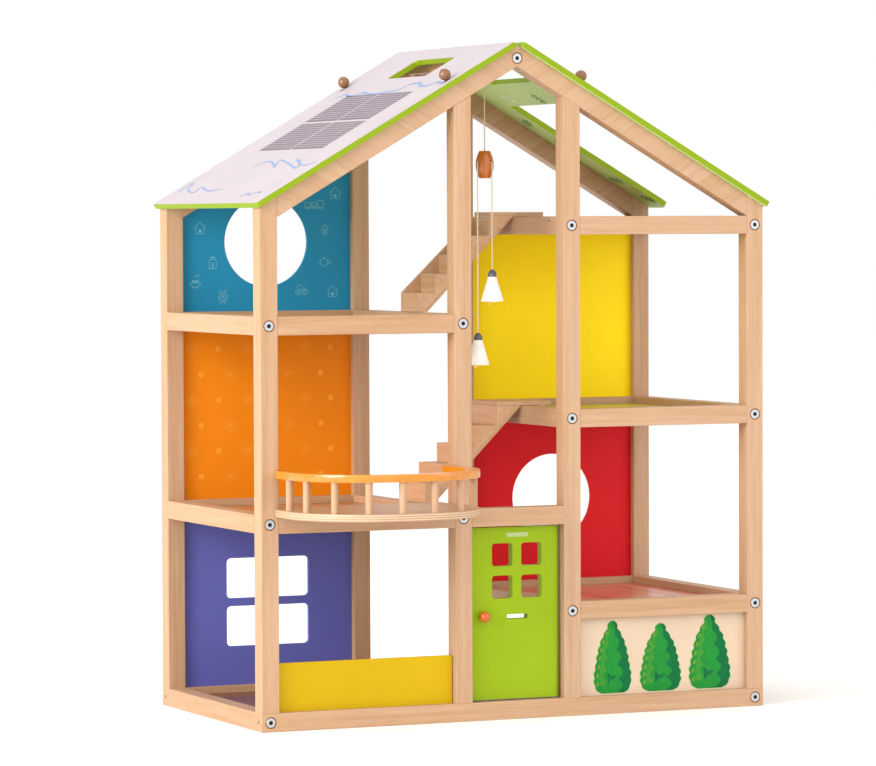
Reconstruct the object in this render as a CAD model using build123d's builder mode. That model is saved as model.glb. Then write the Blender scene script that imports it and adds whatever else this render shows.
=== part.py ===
from build123d import *
import math
import os

os.makedirs("parts", exist_ok=True)

# Wooden dollhouse, in millimetres. X runs to the right, Y to the back, Z up.
# The origin is on the floor, at the middle of the box that holds the whole house.

# ---- Overall sizes ----
house_width = 600.0
house_depth = 300.0
middle_bay = 110.0          # clear width between the two inner posts
level_pitch = 210.0         # from one rail of a bay to the next
right_bay_lift = 105.0      # height of the first rail of the right bay
roof_pitch = 30.0
beam = 20.0                 # square section of posts, rails and rafters
edge_ease = 0.8             # rounding of the long edges of the timber
fit_gap = 0.1               # clearance of glued joints
rest_gap = 0.15             # clearance under a piece that only rests in its place

# ---- Sheets ----
wall_thickness = 4.0
wall_setback = 8.0          # from the face of the posts to the sheet
floor_thickness = 4.0
floor_drop = 8.0            # from the top of the rails to the floor
groove_depth = 5.0
groove_gap = 0.15
fence_height = 52.0
fence_end_gap = 1.0
fence_corner = 3.0
round_window = 100.0        # diameter of the holes in the blue and red walls
blue_window_height = 77.5   # centre of the hole over the rail below it
pane = 45.0                 # window panes in the purple wall
pane_bar = 9.0
pane_corner = 5.0
pane_centre_height = 93.0   # over the bottom rail

# ---- Roof ----
roof_thickness = 6.0
roof_overhang = 6.0         # past the front and back frames
roof_length = 346.0         # down the slope
ridge_gap = 3.8             # from the ridge line to each panel, down the slope
roof_corner = 2.0
skylight_top = 30.0         # from the ridge line, down the slope
skylight_length = 42.0
skylight_width = 106.0
skylight_corner = 5.0
notch_top = 119.0           # from the ridge line to the balcony notch of the right panel
notch_width = 180.0
notch_corner = 4.0
notch_mouth = 8.0           # rounding of the notch at the eave

# ---- Beads that hold the roof ----
bead_diameter = 13.0
bead_hole = 3.0
bead_down_slope = 86.5      # from the ridge line
elastic_diameter = 2.4
elastic_depth = 6.0         # in the rafter
elastic_in_bead = 10.5
slot_width = 4.4
slot_length = 11.0

# ---- Door ----
door_thickness = 10.0
door_setback = 8.0
door_gap = 2.0              # at the sides
door_foot_gap = 1.5         # below and above
door_pane = (24.6, 25.0)
door_pane_pitch = 35.0
door_pane_corner = 3.5
door_panes_at = (1.5, 161.0)
letter_slot = (25.0, 5.0)
letter_slot_at = (2.0, 111.0)
knob_diameter = 12.0
knob_stem = 4.0
knob_at = (-40.0, 112.5)
pin_diameter = 4.0
pin_in_door = 10.0
pin_in_rail = 5.0
pin_gap = 0.08              # running clearance of the hinge pins in the rails

# ---- Balcony ----
balcony_width = 213.0       # in front of the posts
balcony_reach = 276.0       # from the middle of the house to its front edge
balcony_corner = 90.0
tongue_width = 200.0        # between the posts
shoulder_gap = 0.3          # from the shoulders of the deck to the posts
deck_thickness = 6.0
apron_thickness = 2.2       # below the deck, in front of the frame
deck_inside = 14.0          # behind the front frame
handrail_width = 11.0
tongue_rail = 9.0           # width of the handrail between the posts
rail_inside = 9.0           # how far the handrail goes in between the posts
handrail_thickness = 8.0
baluster_diameter = 8.0
baluster_height = 33.0
baluster_inset = 5.5        # from the edge of the deck to the middle of a baluster
baluster_tenon = 3.0
baluster_pitch = 36.5
baluster_shift = 6.5        # of the whole row, to the right
balusters_each_side = 5
peg_diameter = 6.0
peg_spacing = 130.0
peg_length = 10.0
peg_in_deck = 4.0
peg_gap = 0.1

# ---- Stairs ----
step_count = 5
step_run = 22.0
stair_bearing = 7.0         # of the foot on the rail of the left bay
stair_heel = 12.0           # from the first riser to the back of the foot
soffit_thickness = 3.0
lower_stair_y = (-40.0, 27.0)   # from the middle of the house
upper_stair_y = (-21.0, 20.0)
side_board_thickness = 4.0
hook_board_thickness = 4.8
hook_board_past_rail = 17.0
hook_lip = (9.0, 6.5)       # thickness and drop of the lip behind the rail

# ---- Hanging lamps ----
pendant_y = -65.0           # from the middle of the house
barrel_top = 617.0
barrel_height = 30.0
barrel_diameter = 20.0
barrel_end = 12.0
barrel_bore = 1.6
barrel_hole = 2.6
barrel_hole_depth = 6.0
barrel_hole_below_top = 11.5
cord_diameter = 1.3
cord_out = 11.3             # from the middle of the barrel to a lamp's cord
cord_start = 6.5
cord_bend = 2.6
high_lamp_angle = -70.0
low_lamp_angle = -159.0
high_lamp_top = 487.0
low_lamp_top = 417.5
cap_height = 8.0
cap_diameter = 9.6
cap_crown = 2.4             # flat at the top, where the cord goes in
shade_top = 9.4
shade_bottom = 25.5
shade_height = 27.0
bulb_diameter = 12.0
bulb_drop = 4.0
bulb_tip = 1.2              # flat at the lowest point
bulb_neck = 6.0
eye_ring = 4.0              # radius to the middle of the wire
eye_wire = 1.6
eye_shank = 9.0
loop_radius = 2.2

# ---- Fasteners ----
bolt_diameter = 6.0
bolt_head = 11.0
bolt_head_height = 2.6
bolt_socket = 5.0
bolt_socket_depth = 1.8
bolt_length = 42.0
bolt_gap = 0.2
nut_diameter = 9.0
nut_length = 14.0
nut_inset = 16.0            # from the end of the rail to the middle of the nut
nut_gap = 0.1
dowel_diameter = 8.0
dowel_length = 20.0
dowel_in_post = 6.0
small_dowel = 5.0
small_dowel_shorter = 4.0   # than the large dowels
end_hole_diameter = 3.5     # in the ends of the bottom rails
end_hole_depth = 5.0

# ---- Worked out from the sizes above ----
slope = math.radians(roof_pitch)
half_width = house_width / 2
inner_face = half_width - beam
stair_face = middle_bay / 2
bay_face = stair_face + beam
house_y = (balcony_reach - house_depth / 2 - roof_overhang) / 2
front = house_y - house_depth / 2
back = house_y + house_depth / 2
front_inner = front + beam
back_inner = back - beam
left_levels = [level_pitch, level_pitch * 2]
right_levels = [right_bay_lift + level_pitch * step for step in range(3)]
eaves = right_levels[-1] + beam
rafter_rise = beam / math.cos(slope)
ridge = eaves + inner_face * math.tan(slope) + rafter_rise
bay_centre = (inner_face + bay_face) / 2


def under(x):
    """Height of the underside of the rafters at a place across the house."""
    return eaves + (inner_face - abs(x)) * math.tan(slope)


def middle(limits):
    return (limits[0] + limits[1]) / 2


def span(limits):
    return limits[1] - limits[0]


def mirrored(limits):
    return (-limits[1], -limits[0])


def block(x, y, z):
    """A plain block between three pairs of limits."""
    with BuildPart() as piece:
        with BuildSketch(Plane.XY.offset(z[0])):
            with Locations((middle(x), middle(y))):
                Rectangle(span(x), span(y))
        extrude(amount=span(z))
    return piece.part


def slab(points, y):
    """A piece with this outline across the house, between two limits of Y."""
    with BuildPart() as piece:
        with BuildSketch(Plane.XZ.offset(-y[1])):
            with BuildLine():
                Polyline(*points, close=True)
            make_face()
        extrude(amount=span(y))
    return piece.part


def rod(start, direction, diameter, length):
    """A round rod from a point along a direction."""
    with BuildPart() as piece:
        with BuildSketch(Plane(origin=start, z_dir=direction)):
            Circle(diameter / 2)
        extrude(amount=length)
    return piece.part


def near(one, other):
    """Whether the boxes of two shapes meet."""
    a, b = one.bounding_box(), other.bounding_box()
    return all(
        low_a <= high_b and low_b <= high_a
        for low_a, high_a, low_b, high_b in (
            (a.min.X, a.max.X, b.min.X, b.max.X),
            (a.min.Y, a.max.Y, b.min.Y, b.max.Y),
            (a.min.Z, a.max.Z, b.min.Z, b.max.Z),
        )
    )


def timber(raw, cuts):
    """Ease the long edges of a piece of timber, then cut its grooves and holes."""
    with BuildPart() as piece:
        add(raw)
        size = raw.bounding_box().size
        long_side = max(size.X, size.Y, size.Z)
        long_edges = [edge for edge in piece.edges() if edge.length > long_side * 0.8]
        fillet(long_edges, edge_ease)
        for cut in cuts:
            if near(raw, cut):
                add(cut, mode=Mode.SUBTRACT)
    return piece.part


def save(label, *solids):
    """Write one named sub-part. Several solids stay separate pieces of it."""
    if len(solids) == 1:
        whole = solids[0]
    else:
        whole = Compound(children=list(solids))
    whole.label = label
    export_step(whole, f"parts/{label}.step")


# ---- Wall sheets: outline, place and cut-outs ----
def wall_outline(x, z, top=None):
    """Corners of a wall sheet with its edges in the grooves; top gives a sloping edge."""
    low_x, high_x = x[0] - groove_depth, x[1] + groove_depth
    low_z = z[0] - groove_depth
    if top is None:
        high_z = z[1] + groove_depth
        return [(low_x, low_z), (high_x, low_z), (high_x, high_z), (low_x, high_z)]
    return [(low_x, low_z), (high_x, low_z), (high_x, top(high_x)), (low_x, top(low_x))]


def grown(outline, gap):
    """The same outline, a gap larger all round, for the groove."""
    centre_x = sum(point[0] for point in outline) / len(outline)
    centre_z = sum(point[1] for point in outline) / len(outline)
    return [
        (x + math.copysign(gap, x - centre_x), z + math.copysign(gap, z - centre_z))
        for x, z in outline
    ]


left_x = (-inner_face, -bay_face)
right_x = (bay_face, inner_face)
back_wall_y = (back_inner + wall_setback, back_inner + wall_setback + wall_thickness)
front_wall_y = (front + wall_setback, front + wall_setback + wall_thickness)


def gable_top(x):
    return under(x) + groove_depth


wall_outlines = {
    "wall_purple": (wall_outline(left_x, (beam, left_levels[0])), back_wall_y),
    "wall_orange": (wall_outline(left_x, (left_levels[0] + beam, left_levels[1])), back_wall_y),
    "wall_blue": (wall_outline(left_x, (left_levels[1] + beam, None), gable_top), back_wall_y),
    "wall_red": (wall_outline(right_x, (right_levels[0] + beam, right_levels[1])), back_wall_y),
    "wall_yellow": (wall_outline(right_x, (right_levels[1] + beam, right_levels[2])), back_wall_y),
    "tree_panel": (wall_outline(right_x, (beam, right_levels[0])), front_wall_y),
}
fence_outline = [
    (left_x[0], beam - groove_depth),
    (left_x[1] - fence_end_gap, beam - groove_depth),
    (left_x[1] - fence_end_gap, beam + fence_height),
    (left_x[0], beam + fence_height),
]


def wall_grooves(name):
    outline, y = wall_outlines[name]
    return slab(grown(outline, groove_gap), (y[0] - groove_gap, y[1] + groove_gap))


def window_in(name):
    """The cut-outs of a wall sheet, as solids to take away."""
    y = wall_outlines[name][1]
    cuts = []
    if name in ("wall_blue", "wall_red"):
        if name == "wall_blue":
            centre = (-bay_centre, left_levels[1] + beam + blue_window_height)
        else:
            centre = (bay_centre, (right_levels[0] + beam + right_levels[1]) / 2)
        cuts.append(rod((centre[0], y[0] - 1, centre[1]), (0, 1, 0), round_window, span(y) + 2))
    if name == "wall_purple":
        with BuildPart() as panes:
            with BuildSketch(Plane.XZ.offset(-y[1] - 1)):
                with Locations((-bay_centre, beam + pane_centre_height)):
                    with GridLocations(pane + pane_bar, pane + pane_bar, 2, 2):
                        RectangleRounded(pane, pane, pane_corner)
            extrude(amount=span(y) + 2)
        cuts.append(panes.part)
    return cuts


# ---- Floors, with their corners cut round the posts ----
def floor_sheet(x, level, gap=0.0):
    """A floor in the grooves of its rails; a gap makes the groove cutter."""
    top = level + beam - floor_drop + gap
    bottom = top - floor_thickness - 2 * gap
    outer_x = (x[0] - groove_depth - gap, x[1] + groove_depth + gap)
    outer_y = (front_inner - groove_depth - gap, back_inner + groove_depth + gap)
    corner = groove_depth + 2 * groove_gap
    with BuildPart() as piece:
        with BuildSketch(Plane.XY.offset(bottom)):
            with Locations((middle(outer_x), middle(outer_y))):
                Rectangle(span(outer_x), span(outer_y))
            corners = [(px, py) for px in outer_x for py in outer_y]
            with Locations(*corners):
                Rectangle(2 * corner, 2 * corner, mode=Mode.SUBTRACT)
        extrude(amount=top - bottom)
    return piece.part


floors = {
    "floor_ground": ((-inner_face, inner_face), 0.0),
    "floor_left_1": (left_x, left_levels[0]),
    "floor_left_2": (left_x, left_levels[1]),
    "floor_right_1": (right_x, right_levels[0]),
    "floor_right_2": (right_x, right_levels[1]),
    "floor_right_3": (right_x, right_levels[2]),
}

# ---- Bolts through the frames into barrel nuts in the rails that run back ----
outer_post_x = inner_face + beam / 2
inner_post_x = stair_face + beam / 2
ridge_bolt_z = under(0) + 9.0
bolt_places = [(-outer_post_x, beam / 2), (outer_post_x, beam / 2), (0.0, ridge_bolt_z)]
bolt_places += [(x, level + beam / 2) for level in left_levels for x in (-outer_post_x, -inner_post_x)]
bolt_places += [(x, level + beam / 2) for level in right_levels for x in (inner_post_x, outer_post_x)]
frame_faces = {"front": (front, 1), "back": (back, -1)}


def bolt(x, z, face, way):
    """A cap bolt whose head lies flush in the frame."""
    with BuildPart() as piece:
        with BuildSketch(Plane(origin=(x, face, z), z_dir=(0, way, 0))):
            Circle(bolt_head / 2)
        extrude(amount=bolt_head_height)
        head_rim = piece.edges().filter_by(GeomType.CIRCLE).sort_by(Axis.Y)[0 if way > 0 else -1]
        chamfer(head_rim, 0.5)
        with BuildSketch(Plane(origin=(x, face, z), z_dir=(0, way, 0))):
            Circle(bolt_diameter / 2)
        extrude(amount=bolt_length)
        with BuildSketch(Plane(origin=(x, face, z), z_dir=(0, way, 0))):
            RegularPolygon(bolt_socket / 2, 6)
        extrude(amount=bolt_socket_depth, mode=Mode.SUBTRACT)
    return piece.part


def bolt_hole(x, z, face, way):
    head = rod((x, face - way, z), (0, way, 0), bolt_head + 2 * bolt_gap, bolt_head_height + 1 + fit_gap)
    shank = rod((x, face, z), (0, way, 0), bolt_diameter + 2 * bolt_gap, bolt_length + 1)
    return [head, shank]


def nut_place(x, z, face, way):
    return (x, face + way * (beam + nut_inset), z - nut_length / 2)


def barrel_nut(x, z, face, way):
    """A round cross nut, bored for the bolt."""
    with BuildPart() as piece:
        with BuildSketch(Plane(origin=nut_place(x, z, face, way))):
            Circle(nut_diameter / 2)
        extrude(amount=nut_length)
        thread = rod((x, face, z), (0, way, 0), bolt_diameter + nut_gap, bolt_length + 10)
        add(thread, mode=Mode.SUBTRACT)
    return piece.part


def nut_hole(x, z, face, way):
    """The hole for the nut, drilled from below the rail."""
    place = nut_place(x, z, face, way)
    low = z - beam / 2 - 1
    top = place[2] + nut_length + fit_gap
    return rod((place[0], place[1], low), (0, 0, 1), nut_diameter + 2 * nut_gap, top - low)


bolt_holes = []
nut_holes = []
for face, way in frame_faces.values():
    for x, z in bolt_places:
        bolt_holes += bolt_hole(x, z, face, way)
        nut_holes.append(nut_hole(x, z, face, way))

# ---- Dowels that hold each frame together ----
dowel_places = []
for frame_y in (front + beam / 2, back - beam / 2):
    for level in left_levels:
        dowel_places.append(((-inner_face, frame_y, level + beam / 2), (1, 0, 0), dowel_diameter))
        dowel_places.append(((-bay_face, frame_y, level + beam / 2), (-1, 0, 0), dowel_diameter))
    for level in right_levels:
        dowel_places.append(((inner_face, frame_y, level + beam / 2), (-1, 0, 0), dowel_diameter))
        dowel_places.append(((bay_face, frame_y, level + beam / 2), (1, 0, 0), dowel_diameter))
    for post_x in (-outer_post_x, -inner_post_x, inner_post_x, outer_post_x):
        dowel_places.append(((post_x, frame_y, beam), (0, 0, 1), dowel_diameter))
    for side in (-1, 1):
        seam_z = under(inner_post_x) - dowel_length / 2 + dowel_in_post
        dowel_places.append(((side * inner_post_x, frame_y, seam_z), (0, 0, 1), dowel_diameter))
        eaves_z = eaves + rafter_rise * 0.69
        dowel_places.append(((side * inner_face, frame_y, eaves_z), (-side, 0, 0), small_dowel))
for side in (-1, 1):
    dowel_places.append(
        ((side * stair_face, front + beam / 2, left_levels[0] + beam / 2), (-side, 0, 0), dowel_diameter)
    )


def dowel(seam, way, diameter, gap=0.0):
    """A dowel that lies across a seam; a gap makes its hole."""
    length = dowel_length if diameter == dowel_diameter else dowel_length - small_dowel_shorter
    start = Vector(*seam) - Vector(*way) * (dowel_in_post + gap)
    return rod(start, way, diameter + 2 * gap, length + 2 * gap)


dowel_holes = [dowel(*place, gap=fit_gap / 2) for place in dowel_places]

# ---- Fittings that need holes in the frame ----
hinge_x = stair_face - door_gap - door_thickness / 2
hinge_y = front + door_setback + door_thickness / 2
door_z = (beam + door_foot_gap, left_levels[0] - door_foot_gap)
pin_holes = [
    rod((hinge_x, hinge_y, beam - pin_in_rail - fit_gap), (0, 0, 1),
        pin_diameter + 2 * pin_gap, pin_in_rail + 1),
    rod((hinge_x, hinge_y, left_levels[0] - 1), (0, 0, 1),
        pin_diameter + 2 * pin_gap, pin_in_rail + 1 + fit_gap),
]
deck_z = left_levels[0] + beam + rest_gap
peg_places = [(-bay_centre + side * peg_spacing / 2, front + beam / 2) for side in (-1, 1)]
peg_holes = [
    rod((x, y, deck_z - peg_length - fit_gap), (0, 0, 1), peg_diameter + 2 * peg_gap, peg_length + 1)
    for x, y in peg_places
]


def roof_plane(side):
    """The underside of one roof panel: local X runs down the slope from the ridge."""
    down = (side * math.cos(slope), 0, -math.sin(slope))
    out = (side * math.sin(slope), 0, math.cos(slope))
    return Plane(origin=(0, house_y, ridge), x_dir=down, z_dir=out)


bead_places = {
    "front_left": (-1, front + beam / 2),
    "back_left": (-1, back - beam / 2),
    "front_right": (1, front + beam / 2),
    "back_right": (1, back - beam / 2),
}


def on_roof(side, down_slope, y, height):
    """A point over the roof, from its way down the slope, its Y and its height over the rafters."""
    local_y = (y - house_y) * (1 if side > 0 else -1)
    return roof_plane(side).from_local_coords(Vector(down_slope, local_y, height))


def roof_normal(side):
    return (side * math.sin(slope), 0, math.cos(slope))


elastic_holes = [
    rod(on_roof(side, bead_down_slope, y, -elastic_depth - fit_gap), roof_normal(side),
        elastic_diameter + fit_gap, elastic_depth + 1)
    for side, y in bead_places.values()
]
pendant = (0.0, house_y + pendant_y)
eye_hole = [rod((*pendant, under(0) - 1), (0, 0, 1), eye_wire + fit_gap, eye_shank + 1 + fit_gap)]

fence_groove = block(
    (left_x[0] - groove_gap, left_x[1]),
    (front_wall_y[0] - groove_gap, front_wall_y[1] + groove_gap),
    (beam - groove_depth - groove_gap, beam + 1),
)
end_holes = [
    rod((side * (half_width + 1), y, beam / 2), (-side, 0, 0), end_hole_diameter, end_hole_depth + 1)
    for side in (-1, 1)
    for y in (front + beam / 2, back - beam / 2)
]

frame_cuts = [wall_grooves(name) for name in wall_outlines]
frame_cuts += [floor_sheet(x, level, groove_gap) for x, level in floors.values()]
frame_cuts += bolt_holes + nut_holes + dowel_holes + pin_holes + peg_holes + elastic_holes + eye_hole
frame_cuts += [fence_groove] + end_holes

# ---- Front and back frames ----
outer_x = (inner_face, half_width)
inner_x = (stair_face, bay_face)


def bottom_rail(y):
    return timber(block((-half_width, half_width), y, (0, beam)), frame_cuts)


def post(x, y, top):
    """A post on the bottom rail, its head cut to the slope of the roof."""
    points = [(x[0], beam), (x[1], beam), (x[1], top(x[1])), (x[0], top(x[0]))]
    return timber(slab(points, y), frame_cuts)


def roof_underside(x):
    return under(x) + rafter_rise


def rafter(side, y):
    """A rafter between the ridge and an outer post, with upright ends."""
    points = [
        (side * inner_face, eaves),
        (0, under(0)),
        (0, under(0) + rafter_rise),
        (side * inner_face, eaves + rafter_rise),
    ]
    return timber(slab(points, y), frame_cuts)


def cross_rail(x, y, level):
    return timber(block(x, y, (level, level + beam)), frame_cuts)


frame_y = {"front": (front, front_inner), "back": (back_inner, back)}
rafters = []
for side_name, y in frame_y.items():
    save(f"{side_name}_bottom_rail", bottom_rail(y))
    save(
        f"{side_name}_posts",
        post(mirrored(outer_x), y, roof_underside),
        post(mirrored(inner_x), y, under),
        post(inner_x, y, under),
        post(outer_x, y, roof_underside),
    )
    rails = [cross_rail(left_x, y, level) for level in left_levels]
    rails += [cross_rail(right_x, y, level) for level in right_levels]
    save(f"{side_name}_rails", *rails)
    rafters += [rafter(-1, y), rafter(1, y)]
save("rafters", *rafters)
save("door_head_rail", cross_rail((-stair_face, stair_face), frame_y["front"], left_levels[0]))

# ---- Rails that run from the front frame to the back frame ----
side_y = (front_inner, back_inner)
save(
    "ground_side_rails",
    cross_rail(mirrored(outer_x), side_y, 0.0),
    cross_rail(outer_x, side_y, 0.0),
)
save(
    "left_side_rails",
    *[cross_rail(mirrored(x), side_y, level) for level in left_levels for x in (outer_x, inner_x)],
)
save(
    "right_side_rails",
    *[cross_rail(x, side_y, level) for level in right_levels for x in (inner_x, outer_x)],
)

ridge_beam_outline = [
    (-beam / 2, under(0)),
    (beam / 2, under(0)),
    (beam / 2, roof_underside(beam / 2) - rest_gap),
    (0, ridge - rest_gap),
    (-beam / 2, roof_underside(beam / 2) - rest_gap),
]
save("ridge_beam", timber(slab(ridge_beam_outline, side_y), frame_cuts))

# ---- Floors and walls ----
for name, (x, level) in floors.items():
    save(name, floor_sheet(x, level))

for name, (outline, y) in wall_outlines.items():
    with BuildPart() as wall:
        add(slab(outline, y))
        for cut in window_in(name):
            add(cut, mode=Mode.SUBTRACT)
    save(name, wall.part)

with BuildPart() as garden_fence:
    add(slab(fence_outline, front_wall_y))
    top_corners = garden_fence.edges().filter_by(Axis.Y).group_by(Axis.Z)[-1]
    fillet(top_corners, fence_corner)
save("garden_fence", garden_fence.part)

# ---- Roof panels ----
for side, name in ((-1, "roof_left"), (1, "roof_right")):
    slot_centre = bead_down_slope - slot_width / 2 + slot_length / 2
    eave_edge = ridge_gap + roof_length
    with BuildPart() as roof:
        with BuildSketch(roof_plane(side)) as panel:
            with Locations((ridge_gap + roof_length / 2, 0)):
                Rectangle(roof_length, house_depth + 2 * roof_overhang)
            fillet(vertices(), roof_corner)
            with Locations((skylight_top + skylight_length / 2, 0)):
                RectangleRounded(skylight_length, skylight_width, skylight_corner, mode=Mode.SUBTRACT)
            slot_y = (house_depth - beam) / 2
            with Locations((slot_centre, -slot_y), (slot_centre, slot_y)):
                SlotOverall(slot_length, slot_width, mode=Mode.SUBTRACT)
            if side > 0:
                notch_length = eave_edge - notch_top + notch_corner + 1
                with Locations((notch_top + notch_length / 2, 0)):
                    RectangleRounded(notch_length, notch_width, notch_corner, mode=Mode.SUBTRACT)
                eave_corners = panel.vertices().group_by(Axis.X)[-1]
                mouth_corners = [corner for corner in eave_corners if abs(corner.Y) < notch_width / 2 + 1]
                fillet(mouth_corners, notch_mouth)
        extrude(amount=roof_thickness)
    save(name, roof.part)

# ---- Roof beads on their elastic cords ----
elastics = []
for place, (side, y) in bead_places.items():
    bead_middle = on_roof(side, bead_down_slope, y, roof_thickness + rest_gap + bead_diameter / 2)
    bore = bead_hole / 2
    bore_end = math.sqrt((bead_diameter / 2) ** 2 - bore**2)
    with BuildPart() as bead:
        with BuildSketch(Plane(origin=bead_middle, x_dir=roof_normal(side), z_dir=(0, 1, 0))):
            with BuildLine():
                ThreePointArc((-bore_end, bore), (0, bead_diameter / 2), (bore_end, bore))
                Line((bore_end, bore), (-bore_end, bore))
            make_face()
        revolve(axis=Axis(bead_middle, roof_normal(side)), revolution_arc=360)
    save(f"roof_bead_{place}", bead.part)
    elastic_start = on_roof(side, bead_down_slope, y, -elastic_depth)
    elastic_length = elastic_depth + roof_thickness + elastic_in_bead
    elastics.append(rod(elastic_start, roof_normal(side), elastic_diameter, elastic_length))
save("roof_elastics", *elastics)

# ---- Door ----
door_left = -stair_face + door_gap
with BuildPart() as door:
    with BuildSketch(Plane.XY.offset(door_z[0])):
        with Locations(((door_left + hinge_x) / 2, hinge_y)):
            Rectangle(hinge_x - door_left, door_thickness)
        with Locations((hinge_x, hinge_y)):
            Circle(door_thickness / 2)
    extrude(amount=span(door_z))
    with BuildSketch(Plane.XZ.offset(-hinge_y - door_thickness)):
        with Locations(door_panes_at):
            with GridLocations(door_pane_pitch, door_pane_pitch, 2, 2):
                RectangleRounded(*door_pane, door_pane_corner)
        with Locations(letter_slot_at):
            RectangleRounded(*letter_slot, 1)
    extrude(amount=2 * door_thickness, mode=Mode.SUBTRACT)
    for pin_start in (door_z[0], door_z[1] - pin_in_door):
        socket = rod((hinge_x, hinge_y, pin_start - fit_gap), (0, 0, 1),
                     pin_diameter + fit_gap, pin_in_door + 2 * fit_gap)
        add(socket, mode=Mode.SUBTRACT)
    stem_hole = rod((knob_at[0], hinge_y - door_thickness, knob_at[1]), (0, 1, 0),
                    knob_stem + fit_gap, door_thickness)
    add(stem_hole, mode=Mode.SUBTRACT)
save("door", door.part)

pin_z = ((beam - pin_in_rail, door_z[0] + pin_in_door),
         (door_z[1] - pin_in_door, left_levels[0] + pin_in_rail))
save("door_pins", *[rod((hinge_x, hinge_y, z[0]), (0, 0, 1), pin_diameter, span(z)) for z in pin_z])

knob_centre_y = hinge_y - door_thickness / 2 - knob_diameter / 2 - 1
with BuildPart() as door_knob:
    with Locations((knob_at[0], knob_centre_y, knob_at[1])):
        Sphere(knob_diameter / 2)
    add(rod((knob_at[0], knob_centre_y, knob_at[1]), (0, 1, 0), knob_stem, hinge_y - knob_centre_y - 0.5))
save("door_knob", door_knob.part)

# ---- Balcony ----
balcony_front = house_y - balcony_reach
balcony_back = front_inner + deck_inside
shoulder_y = front - shoulder_gap
deck_top = deck_z + deck_thickness
handrail_z = (deck_top + baluster_height, deck_top + baluster_height + handrail_thickness)


def rounded_front(width, y, corner):
    """A flat shape between two limits of Y, with round corners at the front."""
    with BuildSketch() as shape:
        with Locations((-bay_centre, middle(y))):
            Rectangle(width, span(y))
        fillet(shape.vertices().group_by(Axis.Y)[0], corner)
    return shape.sketch


def tongue(inner_end):
    """The part of the balcony between the posts, seen from above."""
    with BuildSketch() as shape:
        with Locations((-bay_centre, (shoulder_y + inner_end) / 2)):
            Rectangle(tongue_width, inner_end - shoulder_y)
    return shape.sketch


def baluster_place(distance):
    """A point on the line of the balusters, at a distance from its middle."""
    side = math.copysign(1, distance)
    straight = balcony_width / 2 - balcony_corner
    radius = balcony_corner - baluster_inset
    corner_y = balcony_front + balcony_corner
    angle = max(0, abs(distance) - straight) / radius
    if angle > math.pi / 2:
        past_corner = (angle - math.pi / 2) * radius
        return (-bay_centre + side * (straight + radius), corner_y + past_corner)
    across = min(abs(distance), straight) + radius * math.sin(angle)
    return (-bay_centre + side * across, corner_y - radius * math.cos(angle))


baluster_places = [
    baluster_place(side * (place + 0.5) * baluster_pitch + baluster_shift)
    for side in (-1, 1)
    for place in range(balusters_each_side)
]
baluster_sockets = (deck_top - baluster_tenon - fit_gap, handrail_z[0] + baluster_tenon + fit_gap)
socket_cuts = [
    rod((x, y, baluster_sockets[0]), (0, 0, 1), baluster_diameter + fit_gap, span(baluster_sockets))
    for x, y in baluster_places
]
with BuildPart() as balcony_deck:
    with BuildSketch(Plane.XY.offset(deck_z - apron_thickness)):
        add(rounded_front(balcony_width, (balcony_front, shoulder_y), balcony_corner))
    extrude(amount=apron_thickness + deck_thickness)
    with BuildSketch(Plane.XY.offset(deck_z)):
        add(tongue(balcony_back))
    extrude(amount=deck_thickness)
    for cut in socket_cuts:
        add(cut, mode=Mode.SUBTRACT)
    for x, y in peg_places:
        add(rod((x, y, deck_z - 1), (0, 0, 1), peg_diameter + fit_gap, peg_in_deck + 1 + fit_gap),
            mode=Mode.SUBTRACT)
save("balcony_deck", balcony_deck.part)

with BuildPart() as balcony_handrail:
    with BuildSketch(Plane.XY.offset(handrail_z[0])):
        add(rounded_front(balcony_width, (balcony_front, shoulder_y), balcony_corner))
        add(tongue(front + rail_inside))
        inside = (balcony_front + handrail_width, front + rail_inside + 1)
        inside_width = tongue_width - 2 * tongue_rail
        add(rounded_front(inside_width, inside, balcony_corner - handrail_width), mode=Mode.SUBTRACT)
    extrude(amount=handrail_thickness)
    for cut in socket_cuts:
        add(cut, mode=Mode.SUBTRACT)
save("balcony_handrail", balcony_handrail.part)

baluster_z = (deck_top - baluster_tenon, handrail_z[0] + baluster_tenon)
save(
    "balcony_balusters",
    *[rod((x, y, baluster_z[0]), (0, 0, 1), baluster_diameter, span(baluster_z)) for x, y in baluster_places],
)
save(
    "balcony_pegs",
    *[rod((x, y, deck_z - peg_length), (0, 0, 1), peg_diameter, peg_length + peg_in_deck)
      for x, y in peg_places],
)

# ---- Stairs ----
step_rise = right_bay_lift / step_count
stair_start = -stair_face - stair_bearing
soffit_drop = soffit_thickness / math.cos(math.radians(45))


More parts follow.
